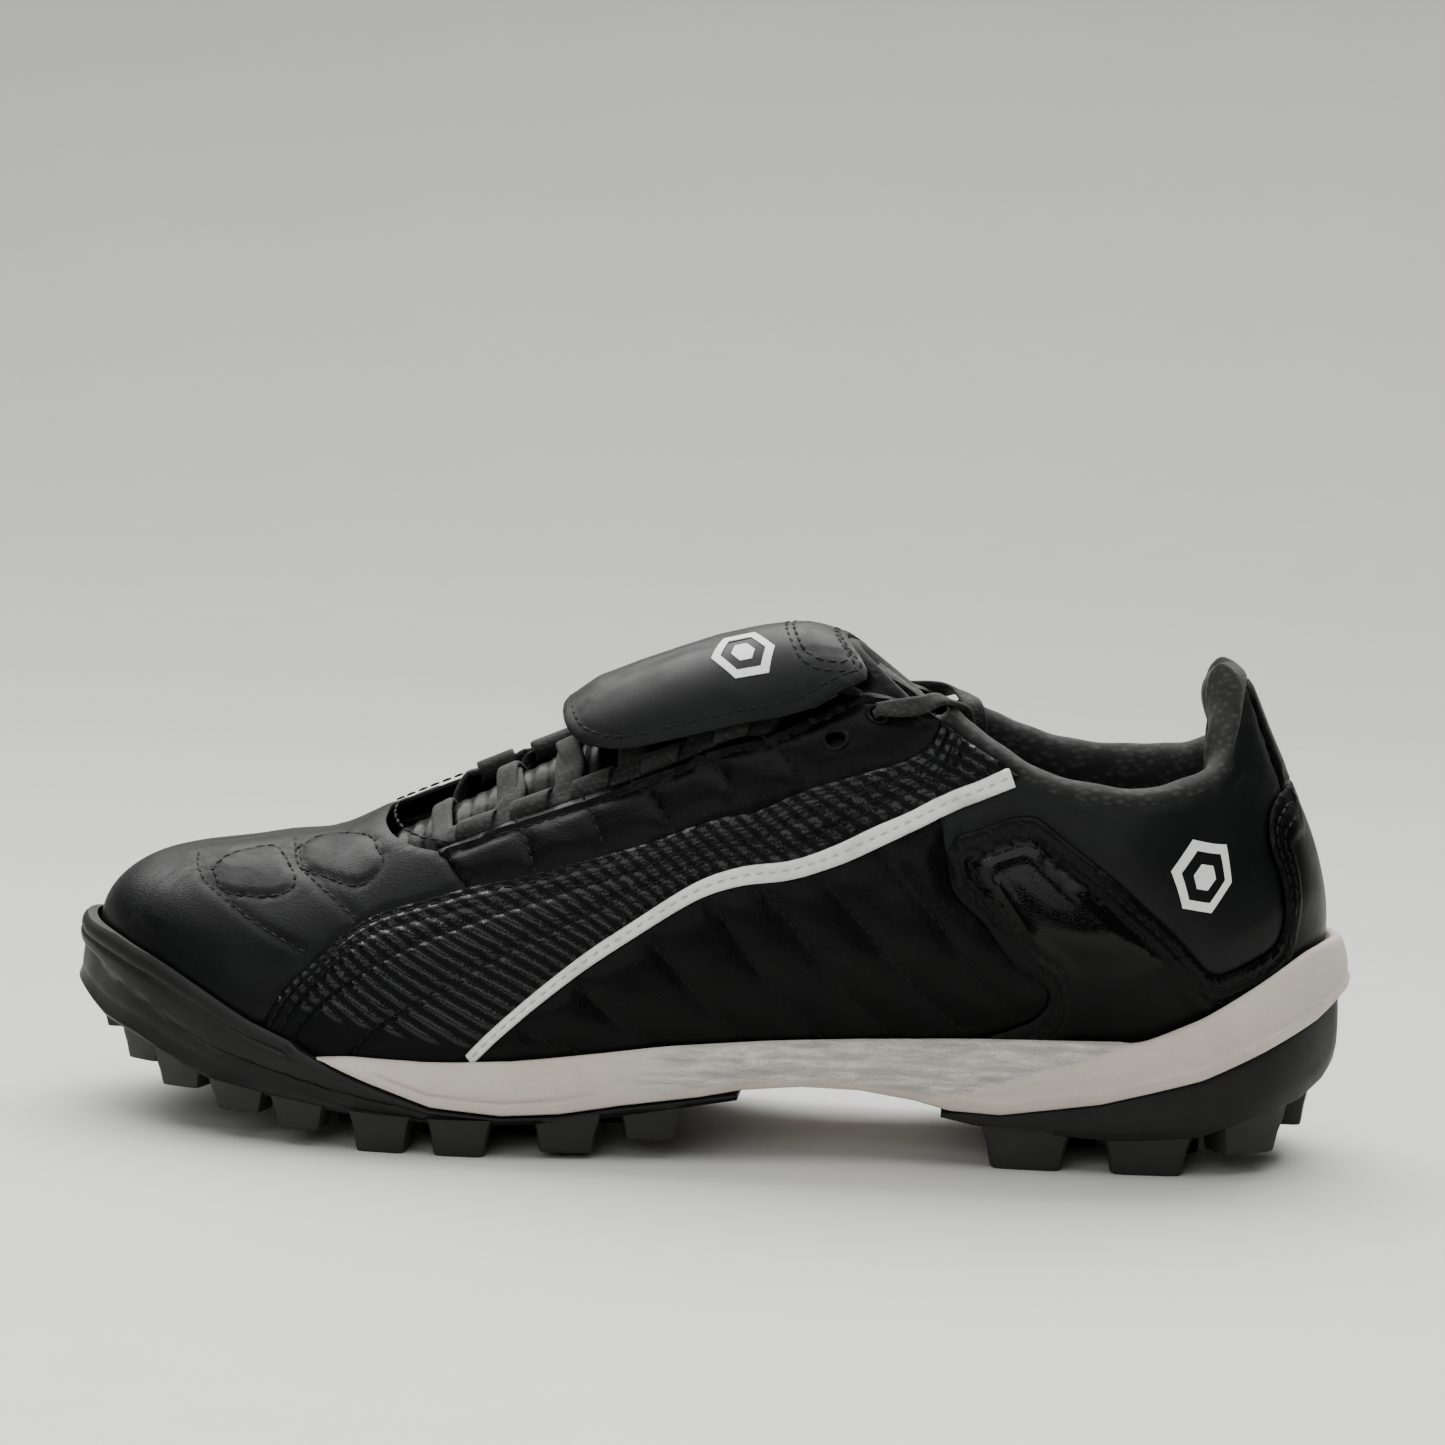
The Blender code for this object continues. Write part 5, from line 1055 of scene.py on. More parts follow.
def vamp_relief(p, u, t, rim):
    d = np.zeros(len(p))
    lines = gap_lines(p, vamp_lines)
    d += -.38 * np.exp(-(lines / .9) ** 2)
    d += .10 * np.exp(-((lines - 3.2) / 2.2) ** 2)
    for oval in vamp_ovals:
        g = gap_to(p, oval)
        within = inside(p, oval)
        d += np.where(within, .42 * ramp(g, 0, 2.2), 0) - .42 * np.exp(-(g / .8) ** 2)
        xyz = skin(u, t, 0)
        d += np.where(within, .075 * np.sin((xyz[:, 0] * .75 + xyz[:, 1] * .9) * math.tau / 1.9) * ramp(g, .6, 1.8), 0)
    # soft flex creases behind the toe
    xyz = skin(u, t, 0)
    bend = np.exp(-((xyz[:, 0] + 92) / 15) ** 2) * ramp(t, .15, .4)
    d += .30 * bend * np.sin((xyz[:, 0] + .22 * xyz[:, 1] + 1.6 * np.sin(xyz[:, 1] / 9)) / 4.1)
    d += .22 * np.sin(xyz[:, 0] / 11 + 1.3 * np.sin(xyz[:, 1] / 13)) * np.sin(xyz[:, 1] / 8.5 + 1)
    return d


vamp = rows3(SIDE_SEAM_A, [(11.6, .56)], THROAT_FRONT, THROAT_FRONT_M, [(-11.6, .75), (-11.5, .62)], medial(SIDE_SEAM_A), bottom(18.6, 13.4, 70))
panel("vamp_leather", vamp, M["vamp"], "satin_leather", 0, vamp_relief, step=1.7, nodes=["vamp"])
for line in (V1, V2, OVAL1, OVAL2):
    for s in (1, -1):
        sew("vamp_stitching", sides(line, s), SKIN_OUT - .25, THREAD)

# eyestays: cushioned squares between short cross seams
QUILT_EYE = [[(11.05, .61), (10.95, .56), (10.8, .47)], [(10.5, .61), (10.38, .55), (10.2, .46)], [(10.1, .61), (9.85, .54), (9.6, .455)], [(9.55, .615), (9.25, .55), (8.95, .46)], [(8.95, .63), (8.7, .60), (8.35, .57)]]


def eye_relief(side):
    cross = [flat(curve(sides(q, side))) for q in QUILT_EYE] if side > 0 else [flat(curve([(-u, .62 + (t - .46) * 1.30) for u, t in q])) for q in QUILT_EYE]
    edge_line = flat(sides(SIDE_SEAM_B, side))
    throat = flat(THROAT_L if side > 0 else THROAT_M)

    def relief(p, u, t, rim):
        a = gap_lines(p, cross)
        b = gap_to(p, edge_line, False)
        c = gap_to(p, throat, False)
        puff = .72 * (1 - np.exp(-a / 2.0)) * ramp(b, 1.5, 5) * ramp(c, 2.6, 6)
        binding = .62 * (1 - ramp(c, 2.2, 2.8))
        groove = -.35 * np.exp(-(a / .7) ** 2) - .3 * np.exp(-((c - 2.9) / .5) ** 2)
        xyz = skin(u, t, 0)
        wob = .16 * np.sin(xyz[:, 0] / 2.9 + np.sin(xyz[:, 2] / 2.3) * 1.5) * np.sin(xyz[:, 2] / 2.1)
        return (puff + wob * ramp(c, 3, 6)) * ramp(np.abs(u), 7.4, 8.2) + binding + groove
    return relief, cross


for side, word, throat, eyes, front in ((1, "lateral", THROAT_L, EYELETS_L, [(11.6, .56)]), (-1, "medial", THROAT_M, EYELETS_M, [(-11.5, .62), (-11.6, .75)])):
    relief, cross = eye_relief(side)
    outline = rows3(SIDE_SEAM_B, throat[::-1], front) if side > 0 else rows3(medial(SIDE_SEAM_B), front, throat)
    panel("eyestay_leather_" + word, outline, M["gloss"], "gloss_leather", .25, relief, step=1.35, holes=[(*e, EYELET_R) for e in eyes], nodes=["eyestay_" + word])
    for line in cross:
        sew("eyestay_stitching", line, SKIN_OUT + .05, THREAD, is_flat=True)
    inner = flat(throat)
    for by in (2.9,):
        sew("eyestay_stitching", shift_line(inner, -by if side > 0 else by)[6:-4], SKIN_OUT + .35, THREAD, is_flat=True)
sew("vamp_stitching", shift_line(flat(THROAT_FRONT), -2.6), SKIN_OUT + .1, THREAD, is_flat=True)
sew("vamp_stitching", shift_line(flat(THROAT_FRONT_M), -2.6), SKIN_OUT + .1, THREAD, is_flat=True)

# side panels: raised ribs between curved seams
SEAM_1 = [(12.95, .04), (12.85, .13), (12.5, .24), (11.9, .335), (11.2, .385), (10.4, .40), (9.6, .402), (9.1, .405), (8.6, .43), (8.15, .53), (7.6, .67), (7.15, .80)]
SEAM_2 = [(12.3, .04), (12.15, .12), (11.75, .20), (11.2, .27), (10.6, .32), (9.9, .352), (9.2, .372), (8.6, .395), (8.15, .45), (7.6, .60), (7.0, .78)]
side_outline = rows3(SIDE_SEAM_A, SIDE_SEAM_B[1:], [(6.2, 1)], PIPING_B[::-1], PIPING_A[::-1][1:], bottom(11.3, 13.4, 26))


def rib_wave(u, t):
    """Phase of the raised ribs: plain slanting bands with a slow waver."""
    p = skin(u, t, 0)
    x, z = p[:, 0], p[:, 2]
    return (x * .50 + z * .86 + 1.5 * np.sin(x / 15) + .8 * np.sin(z / 8)) / 2.75


def rib_field(p, u, t):
    w = np.cos(rib_wave(u, t) * math.tau)
    p3 = skin(u, t, 0)
    low = footbed(rail(u)[0][:, 0]) + 11.5
    low = low + 2.5 * np.sin(p3[:, 0] / 21)
    return ramp(w, -.22, .22) * ramp(p3[:, 2] - low, -1.5, 1)


side_seams = {}
for side, word in ((1, "lateral"), (-1, "medial")):
    seams = [flat(curve(sides(q, side))) for q in (SEAM_1, SEAM_2)]
    top = [flat(sides(SIDE_SEAM_A, side)), flat(sides(SIDE_SEAM_B, side))]
    pipe = [flat(sides(PIPING_A, side)), flat(sides(PIPING_B, side))]

    def relief(p, u, t, rim, seams=seams, top=top, pipe=pipe):
        a = gap_lines(p, seams)
        b = gap_lines(p, top)
        c = gap_lines(p, pipe)
        rib = rib_field(p, u, t) * ramp(a, .9, 1.6) * ramp(b, 6.0, 7.0) * ramp(c, 1.8, 2.6)
        welt = .35 * np.exp(-((b - 3.4) / .9) ** 2) - .25 * np.exp(-((b - 1.9) / .45) ** 2) - .25 * np.exp(-((b - 5.0) / .45) ** 2)
        return .32 * rib + welt + .45 * (1 - np.exp(-a / 3.0)) * ramp(b, 5, 8) - .4 * np.exp(-(a / .7) ** 2) - .35 * (1 - ramp(c, 1.4, 2.6))

    panel("side_panel_leather_" + word, sides(side_outline, side), M["side"], "embossed_panel", .75, relief, step=.66, nodes=["side_panel_" + word],
          attrs={"rib": lambda p, u, t: rib_field(p, u, t)})
    for line in seams:
        sew("side_stitching", line, SKIN_OUT + .55, THREAD, is_flat=True)
    sign = -1 if side > 0 else 1
    for line in top:
        for by in (1.9, 5.0):
            sew("side_stitching", shift_line(line, sign * by)[2:-2], SKIN_OUT + .72, THREAD, is_flat=True)

# saddles: diagonal cushioned channels
QUILT_SADDLE = [[(10.85, .145), (10.55, .10), (10.2, .06)], [(10.35, .215), (9.9, .12), (9.45, .05)], [(9.75, .275), (9.1, .14), (8.45, .04)], [(9.15, .31), (8.3, .165), (7.35, .04)],
                [(8.6, .34), (7.45, .20), (6.2, .04)], [(7.95, .405), (6.4, .26), (5.3, .08)], [(7.3, .55), (5.95, .42), (4.9, .18)]]
saddle_outline = rows3(PIPING_A, COUNTER_A[::-1][1:], bottom(5.0, 11.3, 60))
for side, word in ((1, "lateral"), (-1, "medial")):
    cross = [flat(curve(sides(q, side))) for q in QUILT_SADDLE]
    frame_lines = [flat(sides(PIPING_A, side)), flat(sides(COUNTER_A, side))]

    def relief(p, u, t, rim, cross=cross, frame_lines=frame_lines):
        a = gap_lines(p, cross)
        b = gap_lines(p, frame_lines)
        xyz = skin(u, t, 0)
        low = ramp(xyz[:, 2] - footbed(rail(u)[0][:, 0]), 5, 14)
        wob = .14 * np.sin(xyz[:, 0] / 3.3 + 1.4 * np.sin(xyz[:, 2] / 3.1)) * np.sin(xyz[:, 2] / 2.7)
        return (.85 * (1 - np.exp(-a / 2.6)) + wob) * ramp(b, 1.4, 5) * (.4 + .6 * low) - .35 * np.exp(-(a / .75) ** 2) * ramp(b, 1, 2)

    panel("saddle_leather_" + word, sides(saddle_outline, side), M["gloss"], "gloss_leather", .1, relief, step=1.6, nodes=["saddle_" + word])
    for line in cross:
        sew("saddle_stitching", line, SKIN_OUT + .02, THREAD, is_flat=True)

# ankle quarters: smooth and slightly padded
quarter = rows3(PIPING_B, np.stack([np.linspace(5.5, .75, 40), np.ones(40)], -1)[1:-1], STRAP_EDGE[::-1], COUNTER_B[::-1][1:])
for side, word in ((1, "lateral"), (-1, "medial")):
    def relief(p, u, t, rim):
        xyz = skin(u, t, 0)
        soft = ramp(rim, 1, 7)
        crease = .60 * np.exp(-((t - .90 - .03 * np.sin(u * 3)) / .018) ** 2) * np.exp(-((np.abs(u) - 1.9) / .55) ** 2)
        crease += .50 * np.exp(-((t - .84 + .05 * (np.abs(u) - 1.6)) / .015) ** 2) * np.exp(-((np.abs(u) - 1.5) / .5) ** 2)
        return .55 * soft - crease + .16 * np.sin(xyz[:, 0] / 6.5 + np.sin(xyz[:, 2] / 7)) * soft

    panel("ankle_quarter_leather_" + word, sides(quarter, side), M["quarter"], "satin_leather", 0, relief, step=1.4, nodes=["ankle_quarter_" + word])

# heel counter: moulded cover with a stitched border and a raised glossy window on each side
WINDOW = [(5.86, .655), (5.66, .73), (5.3, .805), (5.1, .805), (4.5, .69), (3.8, .50), (3.15, .335), (3.4, .285), (3.65, .27), (4.3, .275), (4.6, .345), (5.1, .49), (5.6, .60)]
windows = [flat(resample(sides(WINDOW, s), .2, True)) for s in (1, -1)]
counter_edges = [flat(sides(line, s)) for s in (1, -1) for line in (COUNTER_A, COUNTER_B)]
counter_outline = rows3(COUNTER_A, COUNTER_B[1:], [(0, .71)], medial(COUNTER_B), medial(COUNTER_A)[1:], bottom(-5.0, 5.0, 90))


def counter_relief(p, u, t, rim):
    b = gap_lines(p, counter_edges)
    d = .30 * np.exp(-((b - 3.6) / .8) ** 2) - .30 * np.exp(-((b - 2.3) / .45) ** 2) - .30 * np.exp(-((b - 4.8) / .45) ** 2)
    d += -.5 * ramp(b, 6.6, 8.0)
    xyz = skin(u, t, 0)
    fade = ramp(t, .30, .50)
    for w in windows:
        g = gap_to(p, w)
        within = inside(p, w)
        bevel = np.clip(g / 2.6, 0, 1)
        d += np.where(within, (.25 + 1.95 * bevel + .35 * ramp(g, 2.6, 8)) * fade, -.30 * np.exp(-(g / 1.0) ** 2) * fade)
    lobe = np.exp(-((np.abs(u) - .95) / .42) ** 2) * ramp(t, .30, .42) * (1 - ramp(t, .60, .70))
    d += .95 * lobe
    d += .16 * np.sin(xyz[:, 0] / 7 + 1) * np.sin(xyz[:, 2] / 5.5)
    return d


def inset(loop, by):
    """The closed flat loop moved inwards."""
    d = unit(np.roll(loop, -1, 0) - np.roll(loop, 1, 0))
    n = np.stack([-d[:, 1], d[:, 0]], -1) * (1 if area(loop) > 0 else -1)
    moved = loop + n * by
    return moved[gap_to(moved, loop) > by * .97]


def window_shine(p, u, t):
    s = np.zeros(len(p))
    for w in windows:
        s = np.maximum(s, np.where(inside(p, w), ramp(gap_to(p, w), 0, .8), 0))
    return s * ramp(t, .27, .36)


window_lines = [even(np.vstack([w, w[:1]]), 1.0)[:-1] for w in windows]
window_lines += [even(np.vstack([inset(w, 2.6), inset(w, 2.6)[:1]]), 1.0)[:-1] for w in window_lines]
panel("heel_counter_leather", counter_outline, M["counter"], "moulded_counter", .80, counter_relief, step=1.0, nodes=["heel_counter"], lines=window_lines,
      attrs={"shine": window_shine})
counter_flat = flat(resample(counter_outline, .5, True))
for side in (1, -1):
    for line in (COUNTER_A, COUNTER_B):
        f = even(flat(line), 1.5)
        for by in (2.3, 4.8):
            picks = []
            for way in (1, -1):
                moved = even(shift_line(f, way * by), 1.5)
                keep = inside(moved, counter_flat) & (gap_to(moved, f, False) > by - .5)
                keep &= gap_lines(moved, [flat(COUNTER_A), flat(COUNTER_B)]) > by - .6
                picks.append(moved[keep])
            moved = max(picks, key=len)
            cuts = np.nonzero(np.linalg.norm(np.diff(moved, axis=0), axis=1) > 4)[0] + 1
            for run in np.split(moved, cuts):
                if len(run) > 5:
                    uu, tt = UPPER.back(run)
                    sew("counter_stitching", flat(np.stack([uu * side, tt], -1)), SKIN_OUT + .62, THREAD, is_flat=True)

TONGUE = np.array([
    (-84, 60.5, 19, 16, 5),
    (-74, 66.5, 20, 19, 6),
    (-60, 74.5, 19.5, 23, 8),
    (-37, 86.0, 19, 26, 9),
    (-6, 101.0, 18.5, 29, 10),
    (10, 108.4, 15.5, 27, 12),
    (20, 113.0, 13.0, 23, 14),
    (25, 116.0, 12.2, 20, 16),
    (30, 117.3, 12.0, 18, 18),
    (34, 117.1, 12.6, 16.5, 19),
], float)
TONGUE_Y = np.array([(-84, -3), (-37, -4), (10, -3), (34, -1.5)], float)


def arch(rows, ys, spread_deg):
    def at(xq, d):
        x, q = xq[:, 0], xq[:, 1]

        def place(x, q):
            z, w, drop, lie = [np.interp(x, rows[:, 0], rows[:, k]) for k in (1, 2, 3, 4)]
            y0 = np.interp(x, ys[:, 0], ys[:, 1])
            top = math.radians(spread_deg)
            a = q / 25.0 * top
            share = (1 - np.cos(a)) / (1 - math.cos(top))
            return np.stack([x + lie * share, y0 + w * np.sin(a) / math.sin(top), z - drop * share], -1)

        p = place(x, q)
        du = place(x + .5, q) - place(x - .5, q)
        dv = place(x, q + .2) - place(x, q - .2)
        return p + unit(np.cross(du, dv)) * np.asarray(d)[:, None]
    return at


tongue_at = arch(TONGUE, TONGUE_Y, 82)


def rounded(x0, x1, q0, q1, r, n=3):
    """Outline of a rectangle with rounded corners; r is the radius at (x0, q0), (x1, q0), (x1, q1), (x0, q1)."""
    out = []
    for (cx, cy), (sx, sy), start, rad in zip(((x0, q0), (x1, q0), (x1, q1), (x0, q1)), ((1, 1), (-1, 1), (-1, -1), (1, -1)), (180, 270, 0, 90), r):
        for k in range(n + 1):
            a = math.radians(start + 90 * k / n)
            out.append((cx + sx * rad + rad * math.cos(a), cy + sy * rad + rad * math.sin(a)))
    return np.array(out)


FLAP = np.array([
    (-36, 99.5, 25, 14.4, 2),
    (-27, 106.0, 25, 15.4, 3),
    (-17, 110.4, 25, 16.4, 5),
    (-8, 113.8, 25, 16.8, 7),
    (1, 116.9, 25, 16.8, 9),
    (11, 119.4, 23.4, 17.0, 11),
    (18, 120.6, 22.6, 16.2, 13),
    (22, 120.9, 22, 16.0, 14),
    (26, 120.4, 21, 15.4, 15),
    (32, 119.0, 20, 14.6, 16),
], float)
FLAP_Y = np.array([(-36, .5), (10, .5), (36, 0)], float)
flap_at = arch(FLAP, FLAP_Y, 74)


def stadium(x0, x1, half, n=10):
    """Outline with a blunt round front end at x0 and a straight end at x1."""
    r = 19.0
    front = []
    for a in np.linspace(-math.pi / 2, math.pi / 2, n + 1):
        c, s = math.cos(a), math.sin(a)
        front.append((x0 + r - r * c ** .75, half * abs(s) ** .75 * (1 if s > 0 else -1)))
    corner = [(x1 - 8, half), (x1 - 3, half - 2), (x1 - .6, half - 5), (x1, half - 8)]
    return np.array(front + corner + [(x, -q) for x, q in corner[::-1]])


ROW_X = (-53, -40, -26, -10, 6)        # rows of webbing loops, front to back
ROW_RISE = 100.0


def throat_at(x, side):
    """(u, t) of the throat edge at this x: side 1 is lateral, -1 is medial."""
    line = np.array(THROAT_L if side > 0 else THROAT_M)
    u = np.interp(np.linspace(0, 1, 200), np.linspace(0, 1, len(line)), line[:, 0])
    t = np.interp(np.linspace(0, 1, 200), np.linspace(0, 1, len(line)), line[:, 1])
    k = np.abs(surf(u, t)[:, 0] - x).argmin()
    return float(u[k]), float(t[k])


def rise(u, t):
    return float(np.linalg.norm(surf(u, t + .02) - surf(u, t - .02)) / .04)


loop_shape = [(-2.2, -2.25), (.6, -2.25), (1.1, -.5), (2.6, .75), (5.3, .65), (7.1, -1.15), (5.5, -3.05), (2.9, -3.45), (.7, -3.2), (-2.2, -3.2)]


def loop_pass(x, side, forward):
    """Points of the lace inside one loop with their upward directions, in its direction of travel."""
    u, t = throat_at(x, side)
    s = t + 3.9 / rise(u, t)
    points = [(skin(u + du * side, s, -1.2), skin(u + du * side, s, 0) - skin(u + du * side, s, -1)) for du in (-.27, -.13, .13, .27)]
    points.sort(key=lambda p: p[0][0])
    return points if forward else points[::-1]


def on_tongue(x, q, high):
    """Point of a strand over the tongue and its upward direction."""
    xq = np.array([[x, q]], float)
    return tongue_at(xq, np.array([high]))[0], (tongue_at(xq, np.array([1.0])) - tongue_at(xq, np.array([0.0])))[0]


def strand(xa, xb, side, high, reach=9.0):
    """Points of one strand that crosses the tongue from this side to the other."""
    return [on_tongue(xa + (xb - xa) * f, -side * reach * (1 - 2 * f) / .4, h) for f, h in ((.3, 1.4), (.5, high), (.7, 1.4))]


def eyelet_pass(u, t, outward):
    """Points through an eyelet. The band stands on edge there, with its thickness along the shoe."""
    sign = 1 if u > 0 else -1
    lie = skin(u - .1, t, 0) - skin(u + .1, t, 0)
    near = (skin(u + .16 * sign, t + .04, -3.0), skin(u, t, 0) - skin(u, t, -1))
    points = [near] + [(skin(u, t, d), lie) for d in (-2.2, -.6, 1.2, 2.4)]
    return points if outward else points[::-1]


def lace_path():
    """One criss-cross lace, from the lateral top eyelet to the medial top eyelet: points and upward directions."""
    path = eyelet_pass(*EYELETS_L[1], False)
    side = 1
    last = len(ROW_X) - 1
    for k in range(last, -1, -1):
        before = 26 if k == last else ROW_X[k + 1] - 4
        path += strand(before, ROW_X[k] + 5, side, 1.25)
        side = -side
        path += loop_pass(ROW_X[k], side, False)
    path += strand(ROW_X[0] - 9, ROW_X[0] - 9, side, 1.3)
    side = -side
    path += loop_pass(ROW_X[0], side, True)
    for k in range(1, last + 1):
        path += strand(ROW_X[k - 1] + 5, ROW_X[k] - 4, side, 3.0)
        side = -side
        path += loop_pass(ROW_X[k], side, True)
    path += strand(ROW_X[-1] + 5, 26, side, 3.0)
    path += eyelet_pass(*EYELETS_M[1], True)
    return np.array([p for p, _ in path]), unit(np.array([n for _, n in path]))



# ---- back strap and piping ------------------------------------------------------------------------------------------
strap = rows3(STRAP_EDGE, [(0, 1)], medial(STRAP_EDGE), [(0, .71)])
panel("back_strap_leather", strap, M["gloss"], "gloss_leather", .45, lambda p, u, t, rim: .25 * ramp(rim, 1, 4) - .2 * np.exp(-((rim - 1.6) / .4) ** 2), step=1.4, nodes=["back_strap"])


def piping(name, line, nodes):
    """Flat folded piping with rounded edges and a row of stitches down its middle."""
    p = even(flat(line), 1.1)
    d = unit(np.gradient(p, axis=0))
    n = np.stack([-d[:, 1], d[:, 0]], -1)
    prof = [(-1.45, -.55), (-1.5, .15), (-1.3, .62), (-.85, .86), (-.3, .84), (.0, .70), (.3, .84), (.85, .86), (1.3, .62), (1.5, .15), (1.45, -.55)]
    rings = []
    for off, h in prof:
        u, t = UPPER.back(p + n * off)
        rings.append(skin(u, t, .55 + h))
    rings = np.stack(rings, 1)
    loft(name, rings, M["piping"], replaces=nodes, slot="white_trim", smooth=50)
    m = rings.shape[1]
    LAID.append((rings.reshape(-1, 3), [(k * m + i, k * m + i + 1, (k + 1) * m + i + 1, (k + 1) * m + i) for k in range(len(rings) - 1) for i in range(m - 1)]))
    sew(name + "_stitching", p[2:-2], 1.28, WHITE, is_flat=True, pitch=3.0, long=1.7, wide=.5, high=.34, sink=-.1)


pipe_line = [(u, t) for u, t in J([PIPING_A, PIPING_B[1:]]) if t > .062]
pipe_line = np.array([q for q in pipe_line if q[1] < .992])
piping("piping_band_lateral", pipe_line, ["piping_lateral"])
piping("piping_band_medial", medial(pipe_line), ["piping_medial"])

# eyelets: a thin rolled rim in each hole
def eyelet(name, u, t):
    rings = []
    c = spread(np.array([u]), np.array([t]))[0]
    prof = [(1.55, -1.2), (1.55, .35), (1.75, .85), (2.3, .95), (2.65, .7), (2.6, .2), (2.0, -.1), (1.9, -1.2)]
    for k in range(28):
        a = k * math.tau / 28
        row = []
        for r, h in prof:
            q = c + np.array([math.cos(a), math.sin(a)]) * r
            uu, tt = UPPER.back(q)
            row.append(skin(uu, tt, h + .15)[0])
        rings.append(row)
    loft(name, rings, M["counter"], closed=True, caps=False, smooth=60)


for word, eyes in (("lateral", EYELETS_L), ("medial", EYELETS_M)):
    for k, (u, t) in enumerate(eyes):
        eyelet(f"eyelet_rim_{word}_{k + 1}", u, t)

# ---- collar: padded roll of knit over foam, air mesh inside ---------------------------------------------------------
def pad(u):
    return (1 + .45 * math.exp(-(u / 1.3) ** 2)) * (1 - .45 * max(0, (abs(u) - 6.4) / 1.6))


def section(u, rows):
    k = pad(u)
    tt = np.array([r[0] for r in rows])
    dd = np.array([d if d > -4.8 else -4.8 + (d + 4.8) * k for _, d in rows])
    return skin(np.full(len(rows), u), tt, dd)


outer_rows = [(.57, -4.2), (.66, -4.6), (.80, -8.4), (.93, -8.6), (.985, -7.9), (1.006, -5.6), (1.004, -2.6), (.985, -1.7), (.975, -1.45)]
roll_rows = [(.995, -.9), (1.012, -.5), (1.030, -1.2), (1.044, -3.2), (1.048, -5.2), (1.040, -7.4), (1.020, -9.0), (.985, -9.9), (.93, -10.1), (.86, -9.9), (.80, -9.5), (.72, -7.9), (.66, -6.3), (.57, -5.3), (.45, -5.4), (.3, -5.4), (.15, -5.1), (0, -4.8)]
lower_rows = [(0, -3.95), (.15, -4.2), (.3, -4.5), (.45, -4.5)]
ring_rows = outer_rows + roll_rows + lower_rows
us = np.linspace(-7.15, 7.15, 380)
rings = []
for u in us:
    tall = 1 + 1.25 * math.exp(-((abs(u) - 1.55) / .62) ** 2)
    r = section(u, [(1 + (t - 1) * (tall if t > 1 else 1), d) for t, d in ring_rows])
    wob = .22 * math.sin(u * 4.1 + 1.2 * math.sin(u * 1.7)) + .12 * math.sin(u * 11.3)
    n = len(outer_rows)
    for k in range(n, n + 10):
        r[k] = r[k] + unit(r[k] - r[2]) * wob * math.sin(math.pi * (k - n) / 9)
    fine = smooth_rows(r, 4, True)
    rings.append(fine)
rings = np.array(rings)
ends = ramp(7.15 - np.abs(us), 0, .35)
mid = rings[:, 4 * 4:4 * 22].mean(1)
rings = np.where((np.arange(rings.shape[1])[None, :, None] >= 0), mid[:, None] + (rings - mid[:, None]) * (.55 + .45 * ends)[:, None, None], rings)
collar = loft("collar_padding_cover", rings, M["knit"], replaces=["collar_lining"], slot="textile", smooth=60)
collar.data.materials.append(M["mesh"])
m = rings.shape[1]
knit_from, knit_to = 4 * len(outer_rows) - 4, 4 * (len(outer_rows) + 8)
index = np.zeros(len(collar.data.polygons), np.int32)
cells = np.arange((len(us) - 1) * m) % m
index[:len(cells)] = ~((cells >= knit_from) & (cells < knit_to))
collar.data.polygons.foreach_set("material_index", index)

# hidden pieces keep their CAD shapes
for node, mat in (("collar_foam", "foam"), ("tongue_foam", "foam"), ("toe_puff", "board"), ("heel_stiffener", "board"), ("insole_board", "board"), ("vamp_lining", "lining")):
    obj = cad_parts[node]
    obj.data.materials.clear()
    obj.data.materials.append(M[mat])

# sockliner: dished, with its rim turned up against the lining
su = np.arange(260) * NR / 260
edge = edge_xy(su, -7.0)
verts, faces = triangulate(edge, [], 2.6)
rim = gap_to(verts, edge)
top = footbed(verts[:, 0]) + 5.2 + np.clip((verts[:, 0] - 60) / 80, 0, 1) * 1.5 + 1.5 * (1 - ramp(rim, 0, 9)) - .5 * (1 - ramp(rim, 0, 1))
low = footbed(verts[:, 0]) + 2.25
pts, solid = sheet_solid(verts, faces, np.column_stack([verts, top]), np.column_stack([verts, low]))
liner = build("sockliner_cushion", pts, solid, M["insole"], replaces=["sockliner"], slot="sockliner", smooth=50)

# ---- tongue -----------------------------------------------------------------------------------------------------------
def arch_sheet(name, outline, at, low, high, mat, step, relief=None, soft=.6, edge=1.6, **more):
    outer = resample(outline, edge, closed=True)
    verts, faces = triangulate(outer, [], step)
    rim = gap_to(verts, outer)
    r = np.clip(rim / soft, 0, 1)
    round_off = soft * .8 * (1 - np.sqrt(np.clip(1 - (1 - r) ** 2, 0, 1)))
    d = high - round_off + (relief(verts, rim) if relief else 0)
    lo = low + (round_off * .5 if soft > .7 else 0)
    lo = lo * np.ones(len(verts))
    d = np.maximum(d, lo + .2)
    pts, solid = sheet_solid(verts, faces, at(verts, d), at(verts, lo))
    if name == "flap_leather":
        LAID.append((pts, [tuple(int(v) for v in f) for f in faces]))
    return build(name, pts, solid, mat, **more)


def tongue_ribs(v, rim):
    x, q = v[:, 0], v[:, 1]
    bars = ramp(np.cos((x + .05 * np.abs(q) ** 1.4) * math.tau / 3.6), -.2, .5)
    zone = ramp(rim, 3, 5) * (1 - ramp(x, 12, 16)) * (1 - ramp(np.abs(q), 17, 19))
    return .28 * bars * zone + .25 * np.sin(x / 7) * np.cos(q / 6)


